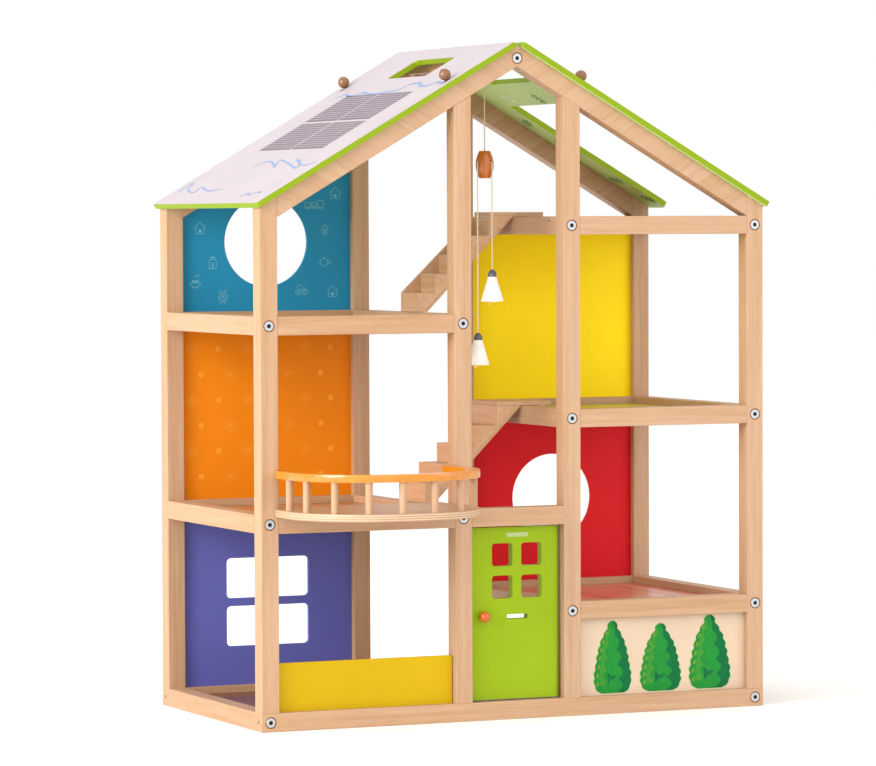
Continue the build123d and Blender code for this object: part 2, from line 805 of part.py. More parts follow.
def stair_pieces(label, base, y, board_y=None):
    """Steps, soffit and hook board of one flight, with an optional side board."""
    low = base + rest_gap
    top = base + right_bay_lift
    foot_back = stair_start + stair_heel
    landing = stair_face - 0.5
    steps = [(stair_start, low)]
    for step in range(step_count):
        steps.append((stair_start + step * step_run, base + (step + 1) * step_rise))
        steps.append((stair_start + (step + 1) * step_run, base + (step + 1) * step_rise))
    steps[-1] = (landing - soffit_drop, top)
    steps.append((foot_back - soffit_drop, base + 0.5))
    steps.append((foot_back - soffit_drop, low))
    soffit = [
        (foot_back - soffit_drop, low),
        (foot_back, low),
        (landing, low + landing - foot_back),
        (landing, top),
        (landing - soffit_drop, top),
        (foot_back - soffit_drop, base + 0.5),
    ]
    first_top = stair_start + (step_count - 1) * step_run
    board_z = (top + rest_gap, top + rest_gap + hook_board_thickness)
    board_end = bay_face + hook_board_past_rail
    lip_x = (bay_face + 0.3, bay_face + 0.3 + hook_lip[0])
    hook = [
        (first_top, board_z[0]),
        (lip_x[0], board_z[0]),
        (lip_x[0], board_z[0] - hook_lip[1]),
        (lip_x[1], board_z[0] - hook_lip[1]),
        (lip_x[1], board_z[0]),
        (board_end, board_z[0]),
        (board_end, board_z[1]),
        (first_top, board_z[1]),
    ]
    save(f"{label}_steps", slab(steps, y))
    save(f"{label}_soffit", slab(soffit, y))
    save(f"{label}_hook_board", slab(hook, y))
    if board_y:
        side_board = [
            (stair_start, low),
            (foot_back, low),
            (landing, low + landing - foot_back),
            (landing, top),
            (first_top, top),
            (stair_start, base + step_rise),
        ]
        save(f"{label}_side_board", slab(side_board, board_y))


stair_y = [tuple(house_y + y for y in limits) for limits in (lower_stair_y, upper_stair_y)]
stair_pieces("lower_stair", left_levels[0] + beam, stair_y[0])
stair_pieces(
    "upper_stair",
    left_levels[1] + beam,
    stair_y[1],
    (stair_y[1][1], stair_y[1][1] + side_board_thickness),
)

# ---- Hanging lamps ----
eye_z = under(0) - eye_ring - eye_wire / 2
wire_z = eye_z - eye_ring
loop_z = wire_z - loop_radius + (eye_wire + cord_diameter) / 2 + 0.3
with BuildPart() as screw_eye:
    with BuildSketch(Plane.XZ.offset(-pendant[1])) as wire_section:
        with Locations((0, eye_z + eye_ring)):
            Circle(eye_wire / 2)
    revolve(axis=Axis((0, pendant[1], eye_z), (1, 0, 0)), revolution_arc=360)
    add(rod((*pendant, eye_z + eye_ring), (0, 0, 1), eye_wire, eye_wire / 2 + eye_shank))
save("screw_eye", screw_eye.part)

barrel_mid = barrel_top - barrel_height / 2
knot_z = barrel_mid - 2
with BuildPart() as pendant_cord:
    with BuildSketch(Plane.XY.offset(loop_z)):
        with Locations((loop_radius, pendant[1])):
            Circle(cord_diameter / 2)
    revolve(axis=Axis((0, pendant[1], loop_z), (0, 1, 0)), revolution_arc=360)
    add(rod((*pendant, knot_z), (0, 0, 1), cord_diameter, loop_z - loop_radius - knot_z))
save("pendant_cord", pendant_cord.part)

hole_z = barrel_top - barrel_hole_below_top
lamps = {"high": (high_lamp_angle, high_lamp_top), "low": (low_lamp_angle, low_lamp_top)}


def heading(angle):
    return Vector(math.cos(math.radians(angle)), math.sin(math.radians(angle)), 0)


with BuildPart() as barrel:
    with BuildSketch(Plane.XZ.offset(-pendant[1])):
        with BuildLine():
            Line((0, barrel_top - barrel_height), (barrel_end / 2, barrel_top - barrel_height))
            ThreePointArc(
                (barrel_end / 2, barrel_top - barrel_height),
                (barrel_diameter / 2, barrel_mid),
                (barrel_end / 2, barrel_top),
            )
            Polyline((barrel_end / 2, barrel_top), (0, barrel_top), (0, barrel_top - barrel_height))
        make_face()
    revolve(axis=Axis((0, pendant[1], 0), (0, 0, 1)), revolution_arc=360)
    add(rod((*pendant, knot_z - fit_gap), (0, 0, 1), barrel_bore, barrel_height), mode=Mode.SUBTRACT)
    for angle, lamp_top in lamps.values():
        way = heading(angle)
        hole_start = Vector(*pendant, hole_z) + way * (barrel_diameter / 2 - barrel_hole_depth)
        add(rod(hole_start, way, barrel_hole, barrel_hole_depth + 1), mode=Mode.SUBTRACT)
save("pendant_barrel", barrel.part)

for name, (angle, lamp_top) in lamps.items():
    way = heading(angle)
    centre = Vector(*pendant, 0) + way * cord_out
    cord_points = [
        Vector(*pendant, hole_z) + way * cord_start,
        centre + Vector(0, 0, hole_z),
        centre + Vector(0, 0, lamp_top),
    ]
    with BuildPart() as lamp_cord:
        with BuildLine() as route:
            FilletPolyline(*cord_points, radius=cord_bend)
        with BuildSketch(Plane(origin=cord_points[0], z_dir=way)):
            Circle(cord_diameter / 2)
        sweep(path=route.line)
    save(f"{name}_lamp_cord", lamp_cord.part)

    shade_z = lamp_top - cap_height
    with BuildPart() as cap:
        with BuildSketch(Plane.XZ.offset(-centre.Y)):
            with BuildLine():
                rim = (centre.X + cap_diameter / 2, shade_z)
                crown = (centre.X + cap_crown / 2, lamp_top)
                shoulder = (centre.X + cap_diameter * 0.42, shade_z + cap_height * 0.6)
                Polyline(crown, (centre.X, lamp_top), (centre.X, shade_z), rim)
                ThreePointArc(rim, shoulder, crown)
            make_face()
        revolve(axis=Axis((centre.X, centre.Y, 0), (0, 0, 1)), revolution_arc=360)
    save(f"{name}_lamp_cap", cap.part)

    shade_low = shade_z - shade_height
    with BuildPart() as shade:
        with BuildSketch(Plane.XY.offset(shade_low).move(Location((centre.X, centre.Y, 0)))):
            Circle(shade_bottom / 2)
        with BuildSketch(Plane.XY.offset(shade_z).move(Location((centre.X, centre.Y, 0)))):
            Circle(shade_top / 2)
        loft()
        with BuildSketch(Plane.XY.offset(shade_low).move(Location((centre.X, centre.Y, 0)))):
            Circle(bulb_neck / 2 + fit_gap)
        extrude(amount=bulb_neck + fit_gap, mode=Mode.SUBTRACT)
    save(f"{name}_lamp_shade", shade.part)

    with BuildPart() as bulb:
        add(rod((centre.X, centre.Y, shade_low - 0.5), (0, 0, 1), bulb_neck, bulb_neck + 0.5))
        with BuildSketch(Plane.XZ.offset(-centre.Y)):
            with BuildLine():
                rim = (centre.X + bulb_diameter / 2, shade_low - fit_gap)
                tip = (centre.X + bulb_tip / 2, shade_low - bulb_drop)
                Polyline(tip, (centre.X, tip[1]), (centre.X, rim[1]), rim)
                ThreePointArc(rim, (centre.X + bulb_diameter * 0.34, shade_low - bulb_drop * 0.72), tip)
            make_face()
        revolve(axis=Axis((centre.X, centre.Y, 0), (0, 0, 1)), revolution_arc=360)
    save(f"{name}_lamp_bulb", bulb.part)

# ---- Fasteners ----
save("bolts", *[bolt(x, z, face, way) for face, way in frame_faces.values() for x, z in bolt_places])
save(
    "barrel_nuts",
    *[barrel_nut(x, z, face, way) for face, way in frame_faces.values() for x, z in bolt_places],
)
save("dowels", *[dowel(*place) for place in dowel_places])
print("Lamp cord bend radius:", cord_bend)
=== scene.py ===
"""Finishes, prints, cords and stage of the wooden dollhouse."""

import math

import bpy
from bpy.props import FloatProperty, FloatVectorProperty, IntProperty, PointerProperty
from bpy.types import Operator, Panel, PropertyGroup
from mathutils import Matrix, Vector


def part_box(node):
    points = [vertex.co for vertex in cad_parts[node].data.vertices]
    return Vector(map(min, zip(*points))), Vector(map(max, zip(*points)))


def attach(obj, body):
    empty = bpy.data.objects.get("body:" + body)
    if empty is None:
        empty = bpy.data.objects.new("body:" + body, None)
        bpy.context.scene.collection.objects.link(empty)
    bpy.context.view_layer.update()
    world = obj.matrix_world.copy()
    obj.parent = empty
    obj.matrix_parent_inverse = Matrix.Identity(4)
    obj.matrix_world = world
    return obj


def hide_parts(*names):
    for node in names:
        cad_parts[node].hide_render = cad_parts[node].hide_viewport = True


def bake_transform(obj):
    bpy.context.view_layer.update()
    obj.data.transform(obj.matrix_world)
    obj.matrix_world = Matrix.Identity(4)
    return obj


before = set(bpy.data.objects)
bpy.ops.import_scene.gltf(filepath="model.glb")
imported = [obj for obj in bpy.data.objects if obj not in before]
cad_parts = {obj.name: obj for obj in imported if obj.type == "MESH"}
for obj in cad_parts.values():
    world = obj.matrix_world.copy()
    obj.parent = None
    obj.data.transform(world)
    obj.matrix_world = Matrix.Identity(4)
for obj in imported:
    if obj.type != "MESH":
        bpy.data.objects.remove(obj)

bl_info = {
    "name": "Wooden Dollhouse",
    "version": (1, 0, 0),
    "blender": (4, 5, 0),
    "location": "View3D > Sidebar > Dollhouse",
    "description": "Finishes and prints for a wooden dollhouse with a balcony and stairs",
    "category": "Object",
}

MM = 0.001
INK_LIFT = 0.12 * MM                # an ink layer's height over the paint, enough to show
CORD = 1.3                          # thickness of the lamps' cords, in millimetres

# The roof panels: down the slope from the ridge line, or across from its middle.
ROOF_PITCH = math.radians(30)
ROOF_THICKNESS = 6 * MM
RIDGE_GAP = 3.8 * MM
ROOF_END, ROOF_HALF_WIDTH = 349 * MM, 156 * MM
SKYLIGHT_START, SKYLIGHT_END, SKYLIGHT_HALF_WIDTH = 30 * MM, 72 * MM, 53 * MM
NOTCH_START, NOTCH_HALF_WIDTH = 119 * MM, 90 * MM
BEAD_DOWN, BEAD_ACROSS = 90 * MM, 140 * MM


# ---------------------------------------------------------------- sizes and colours


def linear(code):
    """An sRGB hex colour as linear values."""
    shares = [int(code[place : place + 2], 16) / 255 for place in (1, 3, 5)]
    return [c / 12.92 if c <= 0.04045 else ((c + 0.055) / 1.055) ** 2.4 for c in shares]


def colour(name, description, code):
    return FloatVectorProperty(
        name=name, description=description, subtype="COLOR", size=3, min=0, max=1, default=linear(code)
    )


def length(name, description, millimetres):
    return FloatProperty(name=name, description=description, unit="LENGTH", min=0, default=millimetres * MM)


class DollhouseColours(PropertyGroup):
    beech: colour("Beech", "Early wood of the planed beech", "#bb9574")
    beech_late: colour("Late wood", "Darker late wood of the beech", "#a77a4c")
    blue: colour("Blue wall", "Satin paint of the top left wall", "#1f82ab")
    orange: colour("Orange wall", "Satin paint of the middle left wall", "#e07f02")
    purple: colour("Purple wall", "Satin paint of the bottom left wall", "#5f63b0")
    red: colour("Red wall", "Satin paint of the wall with the round window", "#d0141e")
    yellow: colour("Yellow wall", "Satin paint of the top right wall", "#ffde05")
    fence: colour("Fence", "Satin paint of the garden fence", "#c09d00")
    lime: colour("Lime", "Paint of the edges of the roof panels", "#7f960f")
    door: colour("Door", "Satin paint of the door", "#8aa40e")
    cream: colour("Roof cream", "Ground colour of the left roof print", "#b2a8ab")
    rail_orange: colour("Handrail", "Gloss lacquer of the balcony handrail", "#c87a0e")


class DollhousePrints(PropertyGroup):
    flower: length("Flower", "Width of a large flower on the orange wall", 15)
    row_pitch: length("Row pitch", "Distance between rows of flowers", 28.6)
    icon: length("Icon", "Width of a line drawing on the blue wall", 14)
    line: length("Line", "Width of the drawn lines", 0.65)
    plank: length("Plank", "Width of a printed plank", 13)
    petals: IntProperty(name="Petals", description="Petals of a large flower", default=7, min=3)


class DollhouseStage(PropertyGroup):
    lens: FloatProperty(
        name="Lens", description="Focal length of the camera", subtype="DISTANCE_CAMERA", default=179.58
    )
    key: FloatProperty(name="Key light", description="Power of the key light", unit="POWER", default=135)
    fill: FloatProperty(name="Fill light", description="Power of the fill light", unit="POWER", default=14)
    sky: FloatProperty(name="Sky", description="Strength of the white surroundings", default=1.0)


def colours():
    return bpy.context.scene.dollhouse_colours


def prints():
    return bpy.context.scene.dollhouse_prints


# ---------------------------------------------------------------- materials


def feed(target, place, value):
    """Set or link one input of a node. A node given as a value stands for its first output."""
    if isinstance(value, bpy.types.Node):
        value = value.outputs[0]
    if isinstance(value, bpy.types.NodeSocket):
        target.id_data.links.new(value, target.inputs[place])
    else:
        target.inputs[place].default_value = value


def node(tree, kind, inputs=None, **settings):
    """Add a shader node with its settings, and feed its inputs."""
    made = tree.nodes.new("ShaderNode" + kind)
    for key, value in settings.items():
        setattr(made, key, value)
    for place, value in (inputs or {}).items():
        feed(made, place, value)
    return made


def started(name, roughness):
    """A new material, its tree, its shader and its place in millimetres."""
    material = bpy.data.materials.new(name)
    material.use_nodes = True
    tree = material.node_tree
    shader = tree.nodes["Principled BSDF"]
    feed(shader, "Roughness", roughness)
    place = node(tree, "TexCoord").outputs["Object"]
    return material, tree, shader, node(tree, "VectorMath", {0: place, 3: 1 / MM}, operation="SCALE")


def shade(value, factor=1.0):
    """A colour made lighter or darker, with its alpha."""
    return (*(min(1.0, part * factor) for part in value), 1.0)


def laid_over(tree, under, over, pattern, low, high, least=0, most=1, how="LINEAR"):
    """One colour laid over another, by a share that follows the pattern."""
    limits = {0: pattern, 1: low, 2: high, 3: least, 4: most}
    share = node(tree, "MapRange", limits, interpolation_type=how)
    return node(tree, "Mix", {0: share, 6: under, 7: over}, data_type="RGBA").outputs[2]


# The grain's direction, as the turn that brings it to X.
ALONG = {"x": (0, 0, 0), "y": (0, 0, math.pi / 2), "z": (0, math.pi / 2, 0), "slope": (0, ROOF_PITCH, 0)}


def grain(tree, place, along, long, wide):
    """Places stretched so that a pattern is this long and wide, in millimetres."""
    level = node(tree, "Mapping", {"Vector": place, "Rotation": ALONG[along]})
    return node(tree, "Mapping", {"Vector": level, "Scale": (1 / long, 1 / wide, 1 / wide)})


def mirrored_place(tree, place):
    """Both slopes of the roof as one: X counts outwards from the ridge."""
    parts = node(tree, "SeparateXYZ", {0: place})
    out = node(tree, "Math", {0: parts.outputs[0]}, operation="ABSOLUTE")
    return node(tree, "CombineXYZ", {0: out, 1: parts.outputs[1], 2: parts.outputs[2]})


def planed_beech(name, along, tone=1.0, roughness=0.5):
    """Beech, planed and sanded under a clear matt lacquer: pale pinkish streaks along the
    grain, short brown ray flecks and a rare pin knot."""
    material, tree, shader, place = started(name, roughness)
    if along == "slope":
        place = mirrored_place(tree, place)

    def figure(kind, long, wide, **inputs):
        return node(tree, kind, {"Vector": grain(tree, place, along, long, wide), "Scale": 1, **inputs})

    board = figure("TexNoise", 700, 42, Detail=1)
    streak = figure("TexNoise", 150, 5.5, Detail=4, Roughness=0.6)
    fibre = figure("TexNoise", 26, 0.8, Detail=2, Roughness=0.7)
    fleck = figure("TexVoronoi", 9, 2.2)
    knot = figure("TexVoronoi", 150, 60)
    early, late = shade(colours().beech, tone), shade(colours().beech_late, tone)
    pink, brown, dark = (shade(linear(code), tone) for code in ("#bf9c7f", "#a56b3a", "#7a4726"))
    wood = laid_over(tree, early, late, streak, 0.38, 0.68, 0.05, 0.7)
    wood = laid_over(tree, wood, pink, board, 0.35, 0.65, 0, 0.3)
    fibre_value = node(tree, "MapRange", {0: fibre, 1: 0.3, 2: 0.7, 3: 0.9, 4: 1.06})
    wood = node(tree, "VectorMath", {0: wood, 3: fibre_value}, operation="SCALE").outputs[0]
    wood = laid_over(tree, wood, brown, fleck, 0.05, 0.2, 0.16, 0)
    wood = laid_over(tree, wood, dark, knot, 0.012, 0.035, 0.75, 0, "SMOOTHSTEP")
    feed(shader, "Base Color", wood)
    bump = node(tree, "Bump", {"Height": fibre, "Strength": 0.25, "Distance": 0.15 * MM})
    feed(shader, "Normal", bump)
    return material


def satin_paint(name, value, roughness=0.5, depth=0.025):
    """Satin paint rolled on plywood: even colour with a faint cloudiness and a fine
    roller stipple that breaks up the sheen."""
    material, tree, shader, place = started(name, roughness)
    feed(shader, "Specular IOR Level", 0.15)
    cloud = node(tree, "TexNoise", {"Vector": place, "Scale": 1 / 70, "Detail": 3})
    clouded = laid_over(tree, shade(value, 1 - depth), shade(value, 1 + depth), cloud, 0.35, 0.65)
    feed(shader, "Base Color", clouded)
    stipple = node(tree, "TexNoise", {"Vector": place, "Scale": 1 / 1.3, "Detail": 2})
    limits = {0: stipple, 1: 0.3, 2: 0.7, 3: roughness - 0.05, 4: roughness + 0.06}
    rough = node(tree, "MapRange", limits)
    feed(shader, "Roughness", rough)
    bump = node(tree, "Bump", {"Height": stipple, "Strength": 0.12, "Distance": 0.1 * MM})
    feed(shader, "Normal", bump)
    return material


def gloss_lacquer(name, value, roughness=0.2):
    """Thick gloss lacquer sprayed on turned wood: deep colour, a clear coat and a trace of
    orange peel."""
    material, tree, shader, place = started(name, roughness)
    cloud = node(tree, "TexNoise", {"Vector": place, "Scale": 1 / 18, "Detail": 2})
    clouded = laid_over(tree, shade(value, 0.92), shade(value, 1.06), cloud, 0.35, 0.65)
    feed(shader, "Base Color", clouded)
    feed(shader, "Coat Weight", 0.5)
    feed(shader, "Coat Roughness", 0.1)
    peel = node(tree, "TexNoise", {"Vector": place, "Scale": 1 / 2.2, "Detail": 1})
    bump = node(tree, "Bump", {"Height": peel, "Strength": 0.06, "Distance": 0.1 * MM})
    feed(shader, "Normal", bump)
    return material


def printed_planks(name, codes, along, width):
    """Plywood with printed planks under clear lacquer: plank tones change from board to board
    between thin joints, with drawn grain. The codes colour two planks and the joint."""
    material, tree, shader, place = started(name, 0.3)
    base, other, joint = (shade(linear(code)) for code in codes)
    across = node(tree, "SeparateXYZ", {0: place}).outputs[1 if along == "x" else 0]
    count = node(tree, "Math", {0: across, 1: width / MM}, operation="DIVIDE")
    number = node(tree, "Math", {0: count}, operation="FLOOR")
    offset = node(tree, "Math", {0: count}, operation="FRACT")
    tone = node(tree, "TexWhiteNoise", {"W": number}, noise_dimensions="1D")
    planks = node(tree, "Mix", {0: tone, 6: base, 7: other}, data_type="RGBA").outputs[2]
    streak = node(tree, "TexNoise", {"Vector": grain(tree, place, along, 60, 1.6), "Scale": 1, "Detail": 3})
    value = node(tree, "MapRange", {0: streak, 1: 0.3, 2: 0.7, 3: 0.82, 4: 1.12})
    grained = node(tree, "VectorMath", {0: planks, 3: value}, operation="SCALE")
    is_joint = node(tree, "Math", {0: offset, 1: 0.08}, operation="LESS_THAN")
    jointed = node(tree, "Mix", {0: is_joint, 6: grained, 7: joint}, data_type="RGBA")
    feed(shader, "Base Color", jointed.outputs[2])
    return material


def plywood_deck(name):
    """Beech plywood under matt lacquer: face grain on top, and thin light and dark plies
    round the edge."""
    material = planed_beech(name, "x", 1.02, 0.45)
    tree = material.node_tree
    shader = tree.nodes["Principled BSDF"]
    face = shader.inputs["Base Color"].links[0].from_socket
    coordinates = node(tree, "TexCoord")
    parts = node(tree, "SeparateXYZ", {0: coordinates.outputs["Object"]})
    normal = node(tree, "SeparateXYZ", {0: coordinates.outputs["Normal"]})
    upright = node(tree, "Math", {0: normal.outputs[2]}, operation="ABSOLUTE")
    is_edge = node(tree, "Math", {0: upright, 1: 0.6}, operation="LESS_THAN")
    ply = node(tree, "Math", {0: parts.outputs[2], 1: 2.4 * MM}, operation="DIVIDE")
    share = node(tree, "Math", {0: ply}, operation="FRACT")
    is_dark = node(tree, "Math", {0: share, 1: 0.45}, operation="LESS_THAN")
    light, dark = shade(linear("#c9a98b")), shade(linear("#a98260"))
    plies = node(tree, "Mix", {0: is_dark, 6: light, 7: dark}, data_type="RGBA").outputs[2]
    final = node(tree, "Mix", {0: is_edge, 6: face, 7: plies}, data_type="RGBA")
    feed(shader, "Base Color", final.outputs[2])
    return material


def roof_paint(name, top, underside, edge, side):
    """Printed plywood roof: a print ground on top, another below, and painted edges."""
    material = satin_paint(name, top)
    tree = material.node_tree
    shader = tree.nodes["Principled BSDF"]
    ground = shader.inputs["Base Color"].links[0].from_socket
    normal = node(tree, "TexCoord").outputs["Normal"]
    out = (side * math.sin(ROOF_PITCH), 0, math.cos(ROOF_PITCH))
    facing = node(tree, "VectorMath", {0: normal, 1: out}, operation="DOT_PRODUCT").outputs["Value"]
    is_top = node(tree, "Math", {0: facing, 1: 0.8}, operation="GREATER_THAN")
    is_under = node(tree, "Math", {0: facing, 1: -0.8}, operation="LESS_THAN")
    edged = node(tree, "Mix", {0: is_top, 6: shade(edge), 7: ground}, data_type="RGBA").outputs[2]
    final = node(tree, "Mix", {0: is_under, 6: edged, 7: shade(underside)}, data_type="RGBA")
    feed(shader, "Base Color", final.outputs[2])
    return material


def zinc_plated_steel(name, value, roughness=0.32):
    """Steel, zinc plated: bright grey with fine turning marks."""
    material, tree, shader, place = started(name, roughness)
    feed(shader, "Metallic", 1.0)
    marks = node(tree, "TexNoise", {"Vector": place, "Scale": 1 / 0.9, "Detail": 3})
    marked = laid_over(tree, shade(value, 0.85), shade(value), marks, 0.3, 0.7)
    feed(shader, "Base Color", marked)
    bump = node(tree, "Bump", {"Height": marks, "Strength": 0.1, "Distance": 0.05 * MM})
    feed(shader, "Normal", bump)
    return material


def braided_cord(name, value):
    """Braided cotton cord: soft, matt, with slanting strands drawn a little coarse."""
    material, tree, shader, place = started(name, 0.85)
    strands = {"Vector": place, "Scale": 0.35, "Distortion": 1.5, "Detail": 1}
    wave = node(tree, "TexWave", strands, bands_direction="DIAGONAL").outputs["Fac"]
    braided = laid_over(tree, shade(value, 0.72), shade(value), wave, 0.2, 0.8)
    feed(shader, "Base Color", braided)
    feed(shader, "Sheen Weight", 0.3)
    bump = node(tree, "Bump", {"Height": wave, "Strength": 0.5, "Distance": 0.2 * MM})
    feed(shader, "Normal", bump)
    return material


def printed_ink(name, code, roughness=0.5):
    """Screen-printed ink: flat colour, a little uneven where the squeegee passed."""
    material, tree, shader, place = started(name, roughness)
    value = linear(code)
    feed(shader, "Specular IOR Level", 0.15)
    patch = node(tree, "TexNoise", {"Vector": place, "Scale": 1 / 6, "Detail": 4})
    patched = laid_over(tree, shade(value, 0.9), shade(value, 1.05), patch, 0.35, 0.65)
    feed(shader, "Base Color", patched)
    return material


def finish(names, material):
    """Give CAD nodes one material."""
    for name in names:
        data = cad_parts[name].data
        data.materials.clear()
        data.materials.append(material)


def ease(names, width):
    """Round the edges of sheets a little, as sanding does."""
    for name in names:
        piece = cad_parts[name]
        weld = piece.modifiers.new("weld", "WELD")
        weld.merge_threshold = 0.002 * MM
        bevel = piece.modifiers.new("sanded", "BEVEL")
        bevel.width = width
        bevel.segments = 2
        bevel.limit_method = "ANGLE"
        bevel.angle_limit = math.radians(50)
        bevel.harden_normals = True


# ---------------------------------------------------------------- drawing on flat faces


class Sheet:
    """A flat face to print on, with its own across and up directions."""

    def __init__(self, origin, across, up):
        self.origin = Vector(origin)
        self.across = Vector(across).normalized()
        self.up = Vector(up).normalized()
        self.out = self.across.cross(self.up)

    def at(self, u, v, layer):
        return self.origin + self.across * u + self.up * v + self.out * (INK_LIFT * layer)


class Drawing:
    """Ink shapes on one sheet, gathered into one mesh."""

    def __init__(self, name, sheet, material, body="house", layer=1):
        self.name, self.sheet, self.material, self.body, self.layer = name, sheet, material, body, layer
        self.points, self.faces, self.shapes = [], [], 0

    def lift(self):
        """The next shape's height, a trace over the last, so that crossing shapes don't fight."""
        self.shapes += 1
        return self.layer + 0.1 * (self.shapes % 8)

    def shape(self, outline):
        start, height = len(self.points), self.lift()
        self.points += [self.sheet.at(u, v, height) for u, v in outline]
        self.faces.append(list(range(start, start + len(outline))))

    def disc(self, u, v, radius, stretch=1.0, turn=0.0, steps=20):
        self.shape(oval(u, v, radius, stretch, turn, [2 * math.pi * step / steps for step in range(steps)]))

    def line(self, route, width, closed=False):
        """A drawn line of even width, mitred at its corners."""
        stops = [Vector(stop) for stop in route]
        start, height, count = len(self.points), self.lift(), len(stops)
        for number, stop in enumerate(stops):
            before = stops[number - 1] if number or closed else None
            after = stops[(number + 1) % count] if number < count - 1 or closed else None
            ways = [way.normalized() for way in (before and stop - before, after and after - stop) if way]
            along = sum(ways, Vector((0, 0))).normalized()
            mitre = min(2.0, 1 / max(0.3, along.dot(ways[0])))
            side = Vector((-along.y, along.x)) * width / 2 * mitre
            self.points += [self.sheet.at(*(stop - side), height), self.sheet.at(*(stop + side), height)]
        for number in range(count if closed else count - 1):
            a, b = start + 2 * number, start + 2 * ((number + 1) % count)
            self.faces.append([a, b, b + 1, a + 1])

    def ring(self, u, v, radius, width, start=0.0, sweep=2 * math.pi, stretch=1.0, turn=0.0):
        steps = max(8, int(abs(sweep) * 5))
        whole = abs(sweep) > 6.2
        angles = [start + sweep * step / steps for step in range(steps if whole else steps + 1)]
        self.line(oval(u, v, radius, stretch, turn, angles), width, closed=whole)

    def made(self):
        data = bpy.data.meshes.new(self.name)
        data.from_pydata(self.points, [], self.faces)
        data.materials.append(self.material)
        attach(placed(self.name, data), self.body)


def placed(name, data):
    """A new object in the scene."""
    piece = bpy.data.objects.new(name, data)
    bpy.context.scene.collection.objects.link(piece)
    return piece


def about(u, v, reach, points):
    """Points round a middle, given in units of the reach."""
    return [(u + a * reach, v + b * reach) for a, b in points]


def oval(u, v, radius, stretch, turn, angles):
    """The points of an oval at these angles."""
    return [turned(u, v, radius * math.cos(a) * stretch, radius * math.sin(a), turn) for a in angles]


def turned(u, v, du, dv, angle):
    """A point at a step from another, where the step has been turned by the angle."""
    return (
        u + du * math.cos(angle) - dv * math.sin(angle),
        v + du * math.sin(angle) + dv * math.cos(angle),
    )


def wall_sheet(name):
    """The front face of an upright sheet: across is X and up is Z."""
    return Sheet((0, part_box(name)[0].y, 0), (1, 0, 0), (0, 0, 1))


def ridge_height():
    """Where the undersides of the two roof panels would meet."""
    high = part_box("roof_left")[1]
    return high.z + RIDGE_GAP * math.sin(ROOF_PITCH) - ROOF_THICKNESS * math.cos(ROOF_PITCH)


def roof_sheet(side, top):
    """A face of a roof panel: across runs down the slope, up runs to the back on the right
    panel and to the front on the left one, and is the other way round below."""
    down = Vector((side * math.cos(ROOF_PITCH), 0, -math.sin(ROOF_PITCH)))
    out = Vector((side * math.sin(ROOF_PITCH), 0, math.cos(ROOF_PITCH)))
    low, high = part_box("roof_left")
    middle = Vector((0, (low.y + high.y) / 2, ridge_height()))
    if top:
        return Sheet(middle + out * ROOF_THICKNESS, down, out.cross(down))
    return Sheet(middle, down, (-out).cross(down))


# ---------------------------------------------------------------- the pieces


class DOLLHOUSE_OT_timber(Operator):
    """Finish the posts, rails, rafters and beams"""

    bl_idname = "dollhouse.timber"
    bl_label = "Timber"

    def execute(self, context):
        upright = planed_beech("Beech_planed_upright", "z")
        level = planed_beech("Beech_planed_level", "x")
        to_back = planed_beech("Beech_planed_to_back", "y", 1.02)
        sloping = planed_beech("Beech_planed_sloping", "slope")
        finish(["front_posts", "back_posts"], upright)
        finish(["front_bottom_rail", "back_bottom_rail", "front_rails", "back_rails"], level)
        finish(["door_head_rail", "dowels"], level)
        finish(["ground_side_rails", "left_side_rails", "right_side_rails", "ridge_beam"], to_back)
        finish(["rafters"], sloping)
        return {"FINISHED"}


class DOLLHOUSE_OT_walls(Operator):
    """Paint the wall sheets and the garden fence"""

    bl_idname = "dollhouse.walls"
    bl_label = "Walls"

    def execute(self, context):
        for name in ("blue", "orange", "purple", "red", "yellow"):
            paint = satin_paint(f"Paint_satin_rolled_{name}", getattr(colours(), name))
            finish([f"wall_{name}"], paint)
            ease([f"wall_{name}"], 0.4 * MM)
        finish(["garden_fence"], satin_paint("Paint_satin_rolled_fence", colours().fence))
        ease(["garden_fence"], 0.5 * MM)
        return {"FINISHED"}


class DOLLHOUSE_OT_flowers(Operator):
    """Print the flowers on the orange wall"""

    bl_idname = "dollhouse.flowers"
    bl_label = "Flower print"

    def execute(self, context):
        sizes = prints()
        ink = printed_ink("Ink_screen_printed_pale_orange", "#ee9a2e")
        drawing = Drawing("flower_print", wall_sheet("wall_orange"), ink)
        # Places across, in millimetres, of the large and small flowers of two kinds of row.
        rows = (((-268, -200, -131), (-236, -168, -100)), ((-222, -151), (-257, -187, -112)))
        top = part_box("wall_orange")[1].z - 27 * MM
        for row in range(6):
            large, small = rows[row % 2]
            v = top - row * sizes.row_pitch
            for u in large:
                self.flower(drawing, u * MM, v, sizes)
            for u in small:
                self.small_flower(drawing, u * MM, v, row)
        drawing.made()
        return {"FINISHED"}

    def flower(self, drawing, u, v, sizes):
        reach = sizes.flower / 2
        for petal in range(sizes.petals):
            a = 2 * math.pi * petal / sizes.petals + 0.3
            centre = (u + reach * 0.62 * math.cos(a), v + reach * 0.62 * math.sin(a))
            drawing.ring(*centre, reach * 0.26, sizes.line * 0.8, stretch=1.4, turn=a)
        drawing.ring(u, v, reach * 0.2, sizes.line)

    def small_flower(self, drawing, u, v, turn):
        for petal in range(5):
            a = 2 * math.pi * petal / 5 + turn
            drawing.disc(u + 2.2 * MM * math.cos(a), v + 2.2 * MM * math.sin(a), 1.6 * MM, steps=10)
        drawing.disc(u, v, 1.2 * MM, steps=10)


